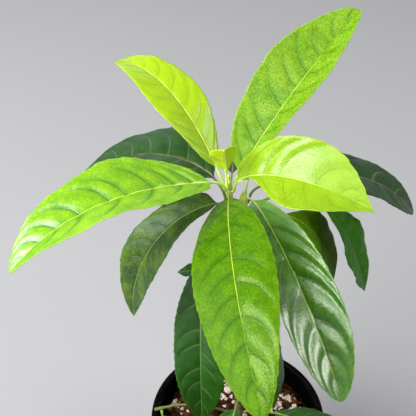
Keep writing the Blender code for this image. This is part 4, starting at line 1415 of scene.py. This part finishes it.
def leaf_path(leaf, stalk_steps=40, steps=240):
    """Stalk and midrib: places, headings and slopes, where the blade starts and where the stalk starts."""
    heading = math.radians(leaf["heading"])
    stalk_rise = math.radians(leaf["stalk_rise"])
    height = leaf["height"] * 0.001
    if leaf["on"] == "shoot":
        middle = shoot_point(height)
        radius = SHOOT_RADIUS * SWELL
    elif leaf["on"] == "twig":
        middle = np.array((TWIG_LEAF_X, TWIG_LEAF_Y, height))
        radius = TWIG_RADIUS * SWELL
    else:
        middle = stem_point(height)
        radius = stem_radius(height) * SWELL
    away = radius + GAP + STALK_RADIUS * math.sin(stalk_rise)
    outward = np.array((math.cos(heading), math.sin(heading), 0.0))
    stalk_shares = (np.arange(stalk_steps) + 0.5) / stalk_steps
    blade_shares = (np.arange(steps) + 0.5) / steps
    rise = math.radians(leaf["rise"])
    slopes = np.concatenate([
        stalk_rise + (rise - stalk_rise) * smooth_step(stalk_shares),
        np.radians(leaf["rise"] - leaf["droop"] * blade_shares ** leaf["ease"]),
    ])
    turns = np.concatenate([
        np.full(stalk_steps, heading),
        heading + math.radians(leaf["swing"]) * blade_shares,
    ])
    strides = np.concatenate([
        np.full(stalk_steps, leaf["stalk"] * 0.001 / stalk_steps),
        np.full(steps, leaf["length"] * 0.001 / steps),
    ])
    ways = np.stack([np.cos(slopes) * np.cos(turns), np.cos(slopes) * np.sin(turns), np.sin(slopes)], axis=1)
    start = middle + away * outward
    places = start + np.concatenate([np.zeros((1, 3)), np.cumsum(ways * strides[:, None], axis=0)])
    turns = np.append(turns, turns[-1])
    slopes = np.append(slopes, slopes[-1])
    return (places, turns, slopes, stalk_steps), middle, outward


def directions(path, index, tilt):
    """Place and directions along, across and up at fractional steps of a path, turned about it by tilt."""
    places, turns, slopes, _ = path
    steps = np.arange(len(places))
    place = np.stack([np.interp(index, steps, places[:, axis]) for axis in range(3)], axis=-1)
    turn = np.interp(index, steps, turns)
    slope = np.interp(index, steps, slopes)
    along = np.stack([np.cos(slope) * np.cos(turn), np.cos(slope) * np.sin(turn), np.sin(slope)], axis=-1)
    side = np.stack([-np.sin(turn), np.cos(turn), np.zeros_like(turn)], axis=-1)
    up = np.cross(along, side)
    cosine = np.cos(tilt)[..., None]
    sine = np.sin(tilt)[..., None]
    return place, along, cosine * side + sine * up, cosine * up - sine * side


def half_width(leaf, share, across):
    """Half width of a blade as a share of its widest."""
    foot = np.where(across > 0.0, leaf["foot"], leaf["foot_right"])
    rising = np.sin(np.clip(share / leaf["widest"], 0.0, 1.0) * np.pi / 2.0) ** foot
    rest = np.clip((1.0 - share) / (1.0 - leaf["widest"]), 0.0, 1.0)
    falling = np.sin(rest * np.pi / 2.0) ** leaf["tip"]
    return np.where(share < leaf["widest"], rising, falling)


def blade_surface(leaf, path, share, across, wave):
    """Smooth middle surface of a blade at arrays of places along and across it."""
    first = path[3]
    index = first + share * (len(path[0]) - 1 - first)
    tilt = np.radians(leaf["roll"] + leaf["twist"] * share)
    place, _, side, up = directions(path, index, tilt)
    wide = leaf["width"] * 0.0005 * half_width(leaf, share, across)
    size = np.abs(across)
    lift = np.radians(leaf["fold"] - leaf["camber"] * size)
    swell = np.sin(2.0 * np.pi * (wave[0] * share + wave[1] + np.where(across > 0.0, 0.0, wave[2])))
    ripple = 0.25 * np.sin(2.0 * np.pi * (3.3 * wave[0] * share + 3.0 * wave[1] + 0.4 * np.sign(across)))
    ends = np.sin(np.pi * np.clip(share, 0.0, 1.0))
    waving = MARGIN_WAVE * min(leaf["width"] / 36.0, 1.0) * size ** 2 * ends * (swell + ripple)
    rise = size * wide * np.sin(lift) + waving
    return place + side * (across * wide * np.cos(lift))[..., None] + up * rise[..., None]


def blade_rows(teeth):
    """Shares along a blade, five to each tooth, and how far the margin stands out at each."""
    shares = [0.0, 0.006, 0.012, 0.02, 0.03, 0.04]
    marks = [0.0] * len(shares)
    first = 0.05
    step = (0.975 - first) / teeth
    for tooth in range(teeth):
        for spot, mark in ((0.0, -0.15), (0.22, 0.08), (0.45, 0.40), (0.68, 0.78), (0.86, 1.0)):
            shares.append(first + step * (tooth + spot))
            marks.append(mark)
    for share in (0.975, 0.983, 0.990, 0.995, 0.9985, 1.0):
        shares.append(share)
        marks.append(0.0)
    return np.array(shares), np.array(marks)


def leaf_relief(name, share, across, half_metres):
    """Quilting of a blade in metres, and where each point lies among the side veins."""
    leaf = LEAVES[name]
    _, _, quilting, lean, pairs = LEAF_FINISH[name]
    size = np.abs(across)
    stagger = np.where(across > 0.0, 0.0, 0.35 + 0.3 * (leaf["seed"] % 3) / 3.0)
    sway = 0.10 * np.sin(5.0 * share + leaf["seed"] + np.where(across > 0.0, 0.0, 2.0))
    bow = lean * (0.55 * size ** 1.4 + 0.45 * size ** 4)
    phase = (share - bow) * pairs + stagger + sway
    if name in LEAF_VEINS:
        sides = []
        for starts in LEAF_VEINS[name]:
            starts = (starts[0] - 0.24, starts[0] - 0.12, *starts, starts[-1] + 0.10, starts[-1] + 0.20)
            sides.append(np.interp(share - bow, starts, np.arange(len(starts)) + 2.0))
        phase = np.where(across > 0.0, sides[0], sides[1])
    small = min(leaf["width"] / 30.0, 1.0)
    fade = np.clip((1.0 - size) / 0.22, 0.0, 1.0) ** 0.7 * np.sin(np.pi * np.clip(share, 0.0, 1.0)) ** 0.4
    fade = fade * (0.35 + 0.65 * smooth_step(size / 0.22))
    between = np.abs(np.sin(np.pi * (phase % 1.0) ** LEAF_SKEW.get(name, 1.0))) ** 0.85 - 0.55
    growing = 0.15 + 0.85 * smooth_step(share / LEAF_CALM.get(name, 0.05))
    ending = 0.25 + 0.75 * smooth_step((1.0 - share) / 0.24)
    left, right = LEAF_SIDES.get(name, (1.0, 1.0))
    ending = ending * np.where(across > 0.0, left, right)
    quilt = 0.001 * quilting * small * fade * between * growing * ending
    ruffle = np.sin(half_metres * 1000.0 * across * 1.9 + 2.0 * phase)
    pucker = PUCKER_HEIGHT * small * fade * ruffle * np.sin(phase * 9.0)
    return quilt + pucker, phase


def stalk_rings(leaf, path, middle, outward, angles, radius):
    """Rings of points round a leaf stalk, from inside its stem to the foot of the blade."""
    first = path[3]
    tilt_end = math.radians(leaf["roll"])
    start, _, side, _ = (part[0] for part in directions(path, np.array([0.0]), np.array([0.0])))
    inside = middle + outward * (0.25 * np.linalg.norm(start - middle)) - np.array((0.0, 0.0, 0.0022))
    elbow = start - outward * (GAP + 0.0004) - np.array((0.0, 0.0, 0.0012))
    rings = []
    for place, ahead, scale in ((inside, elbow, 1.35), (elbow, start, 1.42)):
        way = ahead - place
        way /= np.linalg.norm(way)
        over = np.cross(way, side)
        over /= np.linalg.norm(over)
        ring = np.cos(angles)[:, None] * side + np.sin(angles)[:, None] * over
        rings.append(place + radius * scale * ring)
    rows = 16 if leaf["stalk"] > 16 else 10
    shares = np.arange(rows) / rows
    place, _, side, up = directions(path, first * shares, tilt_end * shares)
    near = 0.28 * np.exp(-shares * leaf["stalk"] / 1.6)
    thick = radius * (1.12 - 0.24 * shares + near)
    for row in range(rows):
        ring = np.cos(angles)[:, None] * side[row] + np.sin(angles)[:, None] * up[row]
        rings.append(place[row] + thick[row] * ring)
    lengths = np.concatenate([(-leaf["stalk"] - 2.5, -leaf["stalk"] - 1.0), leaf["stalk"] * (shares - 1.0)])
    return rings, lengths


def toothed_places(leaf, shares, marks, columns, depth, source):
    """Places along and across a blade, with the teeth drawn out of its margin, and its half width."""
    share = np.repeat(shares[:, None], len(columns), axis=1)
    across = np.repeat(columns[None, :], len(shares), axis=0)
    half_metres = leaf["width"] * 0.0005 * half_width(leaf, share, across)
    for edge, inner in ((0, 1), (-1, -2)):
        uneven = np.array([source.uniform(0.45, 1.35) for _ in shares])
        reach = depth * marks * uneven * np.clip(half_metres[:, edge] / 0.006, 0.0, 1.0)
        wide = np.maximum(half_metres[:, edge], 0.002)
        across[:, edge] *= 1.0 + reach / wide
        across[:, inner] *= 1.0 + 0.5 * reach / wide
    return share, across, half_metres


def blade_normals(leaf, path, share, across, wave):
    """Directions square to the middle surface of a blade."""
    step = 0.008
    ahead = blade_surface(leaf, path, np.minimum(share + step, 1.0), across, wave)
    ahead = ahead - blade_surface(leaf, path, np.maximum(share - step, 0.0), across, wave)
    held = np.clip(share, 0.02, 0.98)
    over = blade_surface(leaf, path, held, across + 0.05, wave)
    over = over - blade_surface(leaf, path, held, across - 0.05, wave)
    normal = np.cross(ahead, over)
    return normal / np.maximum(np.linalg.norm(normal, axis=2)[..., None], 1e-12)


def blade_depths(share, across, half_metres, quilt, vein_gap, thickness, small):
    """How far the skin of a blade lies above and below its middle surface."""
    from_middle = np.abs(across) * half_metres * 1000.0
    from_edge = np.maximum(half_metres * 1000.0 - from_middle, 0.0)
    thickness = thickness * (0.45 + 0.55 * smooth_step(from_edge / 0.9)) * (0.7 + 0.3 * small)
    channel = CHANNEL_DEPTH * small * np.exp(-((from_middle / 0.50) ** 2)) * (1.0 - 0.6 * share)
    keel = KEEL_DEPTH * small * (1.0 - 0.80 * share) * np.exp(-((from_middle / (0.95 - 0.35 * share)) ** 2))
    inward = np.clip((1.0 - np.abs(across)) / 0.3, 0.0, 1.0)
    cord = CORD_DEPTH * small * np.exp(-((vein_gap / 0.6) ** 2)) * inward
    return 0.5 * thickness + quilt - channel, 0.5 * thickness - quilt + keel + cord


def blend_with_stalk(leaf, path, shares, angles, radius, skin):
    """Skin of a blade that grows flat out of its round stalk."""
    first = path[3]
    index = first + shares * (len(path[0]) - 1 - first)
    place, _, side, up = directions(path, index, np.radians(leaf["roll"] + leaf["twist"] * shares))
    thick = radius * (0.88 - 0.3 * np.minimum(shares / 0.06, 1.0))
    ring = np.cos(angles)[None, :, None] * side[:, None, :] + np.sin(angles)[None, :, None] * up[:, None, :]
    plain = place[:, None, :] + thick[:, None, None] * ring
    blend = smooth_step(shares[:, None] / 0.05)[..., None]
    return plain * (1.0 - blend) + skin * blend


def leaf_faces(rows, count):
    """Faces of a leaf's closed skin: round it from ring to ring, and over both ends."""
    size = 2 * count
    faces = []
    for row in range(rows - 1):
        for column in range(size):
            after = (column + 1) % size
            low = row * size
            faces.append((low + column, low + after, low + size + after, low + size + column))
    end = (rows - 1) * size
    for column in range(count - 1):
        mirror = size - 1 - column
        faces.append((column, mirror, mirror - 1, column + 1))
        faces.append((end + column, end + column + 1, end + mirror - 1, end + mirror))
    return faces


def keep_leaf_places(mesh, leaf, lengths, shares, across, half_metres, phase):
    """Keep at each point of a leaf what its material reads.

    leaf_flat is the place along and across the blade and the half width there, in
    millimetres. leaf_vein is the place among the side veins, the share of the half
    width, and 1 on the underside. leaf_share is the share of the blade, under 0 on
    the stalk.
    """
    count = across.shape[1]
    zeros = np.zeros((len(lengths), 2 * count))
    full_across, full_half, full_phase = (
        np.concatenate([zeros, np.concatenate([grid, grid[:, ::-1]], axis=1)])
        for grid in (across, half_metres, phase)
    )
    full_half = full_half * 1000.0
    full_share = np.repeat(np.concatenate([lengths / leaf["length"], shares])[:, None], 2 * count, axis=1)
    under = np.zeros(full_share.shape)
    under[:, count:] = 1.0
    flat = np.stack([full_share * leaf["length"], full_across * full_half, full_half], axis=-1)
    vein = np.stack([full_phase, np.abs(full_across), under], axis=-1)
    keep_values(mesh, "leaf_flat", flat, "FLOAT_VECTOR")
    keep_values(mesh, "leaf_vein", vein, "FLOAT_VECTOR")
    keep_values(mesh, "leaf_share", full_share)


def build_leaf(name, material, settings):
    """One leaf: stalk and blade as a single closed skin, with toothed margin, side veins and midrib."""
    leaf = LEAVES[name]
    _, slot, _, _, pairs = LEAF_FINISH[name]
    source = random.Random(leaf["seed"])
    wave = (source.uniform(1.6, 2.6), source.random(), source.uniform(0.2, 0.8))
    path, middle, outward = leaf_path(leaf)
    small = min(leaf["width"] / 24.0, 1.0)
    stalk_radius = settings.stalk_radius * 0.001 * (0.6 + 0.4 * small)
    half = np.array(HALF_COLUMNS if leaf["width"] > 18 else HALF_COLUMNS[::2] + (1.0,))
    columns = np.concatenate([half[:0:-1], -half])
    angles_top = np.radians(90.0 - 78.0 * columns)
    angles = np.concatenate([angles_top, -angles_top[::-1]])

    teeth = max(4, int(round(leaf["length"] / settings.tooth_spacing)))
    shares, marks = blade_rows(teeth)
    depth = settings.tooth_depth * 0.001 * small
    share, across, half_metres = toothed_places(leaf, shares, marks, columns, depth, source)
    surface = blade_surface(leaf, path, share, across, wave)
    normal = blade_normals(leaf, path, share, across, wave)
    quilt, phase = leaf_relief(name, share, across, half_metres)
    vein_gap = np.abs(phase - np.round(phase)) * leaf["length"] / pairs
    thickness = settings.thickness * 0.001
    above, beneath = blade_depths(share, across, half_metres, quilt, vein_gap, thickness, small)
    top = surface + normal * above[..., None]
    below = surface - normal * beneath[..., None]
    skin = np.concatenate([top, below[:, ::-1]], axis=1)
    skin = blend_with_stalk(leaf, path, shares, angles, stalk_radius, skin)

    rings, lengths = stalk_rings(leaf, path, middle, outward, angles, stalk_radius)
    points = np.concatenate([np.array(rings), skin]).reshape(-1, 3)
    faces = leaf_faces(len(rings) + len(shares), len(columns))
    piece = new_piece(name + "_blade", points, faces, material)
    keep_leaf_places(piece.data, leaf, lengths, shares, across, half_metres, phase)
    hand_over(piece, slot, name)


def build_leaves(names, settings):
    """Several leaves, each with the skin it needs."""
    for name in names:
        skin = LEAF_FINISH["leaf_" + name][0]
        label = "leaf_skin_" + skin
        material = bpy.data.materials.get(label) or leaf_material(label, SKINS[skin], settings)
        build_leaf("leaf_" + name, material, settings)


# Settings


def colour_setting(label, about, red, green, blue):
    """Colour in the panel."""
    shade = (red, green, blue, 1.0)
    return bpy.props.FloatVectorProperty(
        name=label, description=about, subtype="COLOR", size=4, default=shade, min=0.0, max=1.0
    )


def number_setting(label, about, value, low=0.0, high=1.0):
    """Number in the panel."""
    return bpy.props.FloatProperty(name=label, description=about, default=value, min=low, max=high)


def power_setting(label, about, value):
    """Power of a lamp in the panel."""
    return bpy.props.FloatProperty(name=label, description=about, default=value, min=0.0, unit="POWER")


def count_setting(label, about, value, high):
    """Whole number in the panel."""
    return bpy.props.IntProperty(name=label, description=about, default=value, min=0, max=high)


class StageSettings(bpy.types.PropertyGroup):
    """Floor and lights"""

    floor_colour: colour_setting("Floor colour", "Colour of the pale floor", 0.275, 0.275, 0.278)
    left_power: power_setting("Left window", "Power of the long light on the left", 21.0)
    side_power: power_setting("Side window", "Power of the light at the front left", 8.5)
    fill_power: power_setting("Fill light", "Power of the wide light that makes no highlights", 60.0)
    right_power: power_setting("Right window", "Power of the soft light on the right", 14.0)
    front_power: power_setting("Front window", "Power of the light in front", 2.0)
    wall_power: power_setting("Far wall", "Power of the dim wide light behind the plant", 4.5)
    room_light: number_setting("Room light", "Strength of the even light all round", 0.40, high=5.0)


class PotSettings(bpy.types.PropertyGroup):
    """Nursery pot"""

    colour: colour_setting("Plastic colour", "Colour of the pot's plastic", 0.0009, 0.0009, 0.0010)
    dust_colour: colour_setting("Dust colour", "Colour of the dust on the plastic", 0.035, 0.029, 0.024)
    roughness: number_setting("Roughness", "How dull the plastic is", 0.28)


class SoilSettings(bpy.types.PropertyGroup):
    """Potting mix"""

    colour: colour_setting("Soil colour", "Lighter colour of the potting mix", 0.024, 0.0085, 0.0027)
    dark_colour: colour_setting("Damp colour", "Darker colour of the potting mix", 0.006, 0.0025, 0.0012)
    chip_colour: colour_setting("Bark colour", "Colour of the lightest bark chips", 0.060, 0.019, 0.0045)
    grain_colour: colour_setting("Perlite colour", "Colour of the white grains", 0.57, 0.49, 0.40)
    chip_count: count_setting("Bark chips", "How many bark chips lie on the soil", 420, 900)
    grain_count: count_setting("Loose perlite", "How many white grains lie loose on the soil", 120, 600)
    fibre_count: count_setting("Coir strands", "How many strands lie on the soil", 130, 500)


class StemSettings(bpy.types.PropertyGroup):
    """Stem and twigs"""

    # The young colour is the green of the young bark made lighter still, as painted light on the upper stem,
    # which lies in the crown's shade.
    young_and_lit_colour: colour_setting("Young colour", "Colour of the stem at the top", 0.52, 0.64, 0.085)
    twig_colour: colour_setting("Twig colour", "Colour of the cut twig over the soil", 0.100, 0.125, 0.022)
    old_colour: colour_setting("Old colour", "Colour of the stem near the soil", 0.13, 0.095, 0.045)


class LeafSettings(bpy.types.PropertyGroup):
    """All leaves"""

    thickness: number_setting(
        "Blade thickness (mm)", "Thickness of a leaf blade away from its veins", 0.55, 0.2, 1.0
    )
    tooth_depth: number_setting(
        "Tooth depth (mm)", "How far the teeth of the margin stand out", 0.34, 0.0, 1.5
    )
    tooth_spacing: number_setting(
        "Tooth spacing (mm)", "Distance from one tooth of the margin to the next", 6.2, 2.0, 12.0
    )
    stalk_radius: number_setting(
        "Stalk radius (mm)", "Radius of a leaf stalk half way along", 0.64, 0.3, 1.4
    )
    relief: number_setting("Fine relief", "Strength of the finest veins and net", 1.0)
    glow: number_setting("Glow", "How much light passes through the blades", 0.35)


# Operators


class RUDRAKSHA_OT_stage(bpy.types.Operator):
    """Add the floor, the lights and the camera"""

    bl_idname = "rudraksha.stage"
    bl_label = "Stage"

    def execute(self, context):
        build_stage(context.scene.rudraksha_stage)
        return {"FINISHED"}


class RUDRAKSHA_OT_shared_effects(bpy.types.Operator):
    """Build the shader groups that the materials share"""

    bl_idname = "rudraksha.shared_effects"
    bl_label = "Shared effects"

    def execute(self, context):
        make_leaf_map()
        make_mottling()
        make_speckle()
        return {"FINISHED"}


class RUDRAKSHA_OT_pot(bpy.types.Operator):
    """Add the black nursery pot"""

    bl_idname = "rudraksha.pot"
    bl_label = "Pot"

    def execute(self, context):
        build_pot(context.scene.rudraksha_pot)
        return {"FINISHED"}


class RUDRAKSHA_OT_soil(bpy.types.Operator):
    """Add the potting soil"""

    bl_idname = "rudraksha.soil"
    bl_label = "Soil"

    def execute(self, context):
        build_soil(context.scene.rudraksha_soil)
        return {"FINISHED"}


class RUDRAKSHA_OT_bark_chips(bpy.types.Operator):
    """Add the bark chips on the soil"""

    bl_idname = "rudraksha.bark_chips"
    bl_label = "Bark chips"

    def execute(self, context):
        build_chips(context.scene.rudraksha_soil)
        return {"FINISHED"}


class RUDRAKSHA_OT_perlite(bpy.types.Operator):
    """Add the white perlite grains on the soil"""

    bl_idname = "rudraksha.perlite"
    bl_label = "Perlite"

    def execute(self, context):
        build_grains(context.scene.rudraksha_soil)
        return {"FINISHED"}


class RUDRAKSHA_OT_coir(bpy.types.Operator):
    """Add the coir strands on the soil"""

    bl_idname = "rudraksha.coir"
    bl_label = "Coir strands"

    def execute(self, context):
        build_fibres(context.scene.rudraksha_soil)
        return {"FINISHED"}


class RUDRAKSHA_OT_stem(bpy.types.Operator):
    """Add the stem, the side shoot and the cut twig"""

    bl_idname = "rudraksha.stem"
    bl_label = "Stem"

    def execute(self, context):
        build_stem(context.scene.rudraksha_stem)
        return {"FINISHED"}


class RUDRAKSHA_OT_crown_leaves(bpy.types.Operator):
    """Add the light leaves at the top of the stem"""

    bl_idname = "rudraksha.crown_leaves"
    bl_label = "Crown leaves"

    def execute(self, context):
        names = ("front", "left", "right", "top_right", "top_left", "young_top")
        build_leaves(names, context.scene.rudraksha_leaf)
        return {"FINISHED"}


class RUDRAKSHA_OT_stem_leaves(bpy.types.Operator):
    """Add the dark leaves below the crown"""

    bl_idname = "rudraksha.stem_leaves"
    bl_label = "Stem leaves"

    def execute(self, context):
        names = ("back_left", "low_left", "hang_left", "small_left", "hang_right", "back")
        build_leaves(names, context.scene.rudraksha_leaf)
        return {"FINISHED"}


class RUDRAKSHA_OT_shoot_leaves(bpy.types.Operator):
    """Add the leaves of the side shoot"""

    bl_idname = "rudraksha.shoot_leaves"
    bl_label = "Side shoot leaves"

    def execute(self, context):
        names = ("low_right", "back_right", "side_right", "under_right", "young_side")
        build_leaves(names, context.scene.rudraksha_leaf)
        return {"FINISHED"}


class RUDRAKSHA_OT_foot_leaves(bpy.types.Operator):
    """Add the leaves close above the soil"""

    bl_idname = "rudraksha.foot_leaves"
    bl_label = "Foot leaves"

    def execute(self, context):
        names = ("low_front", "low_front_left", "low_front_right")
        build_leaves(names, context.scene.rudraksha_leaf)
        return {"FINISHED"}


STEPS = (
    RUDRAKSHA_OT_shared_effects,
    RUDRAKSHA_OT_stage,
    RUDRAKSHA_OT_pot,
    RUDRAKSHA_OT_soil,
    RUDRAKSHA_OT_bark_chips,
    RUDRAKSHA_OT_perlite,
    RUDRAKSHA_OT_coir,
    RUDRAKSHA_OT_stem,
    RUDRAKSHA_OT_crown_leaves,
    RUDRAKSHA_OT_stem_leaves,
    RUDRAKSHA_OT_shoot_leaves,
    RUDRAKSHA_OT_foot_leaves,
)


class RUDRAKSHA_PT_panel(bpy.types.Panel):
    """Pieces of the plant and their settings"""

    bl_idname = "RUDRAKSHA_PT_panel"
    bl_label = "Potted rudraksha"
    bl_space_type = "VIEW_3D"
    bl_region_type = "UI"
    bl_category = "Rudraksha"

    def draw(self, context):
        for title, attribute, kind in GROUPS:
            box = self.layout.box()
            box.label(text=title)
            for label in kind.__annotations__:
                box.prop(getattr(context.scene, attribute), label)
        for step in STEPS:
            self.layout.operator(step.bl_idname)


GROUPS = (
    ("Stage", "rudraksha_stage", StageSettings),
    ("Pot", "rudraksha_pot", PotSettings),
    ("Soil", "rudraksha_soil", SoilSettings),
    ("Stem", "rudraksha_stem", StemSettings),
    ("Leaves", "rudraksha_leaf", LeafSettings),
)


def register():
    """Add the settings, the operators and the panel."""
    for _, attribute, kind in GROUPS:
        bpy.utils.register_class(kind)
        setattr(bpy.types.Scene, attribute, bpy.props.PointerProperty(type=kind))
    for step in STEPS:
        bpy.utils.register_class(step)
    bpy.utils.register_class(RUDRAKSHA_PT_panel)


def unregister():
    """Take them away again."""
    bpy.utils.unregister_class(RUDRAKSHA_PT_panel)
    for step in reversed(STEPS):
        bpy.utils.unregister_class(step)
    for _, attribute, kind in reversed(GROUPS):
        delattr(bpy.types.Scene, attribute)
        bpy.utils.unregister_class(kind)


def main():
    """Build every piece."""
    register()
    for step in STEPS:
        family, action = step.bl_idname.split(".")
        getattr(getattr(bpy.ops, family), action)()


if __name__ == "__main__":
    main()
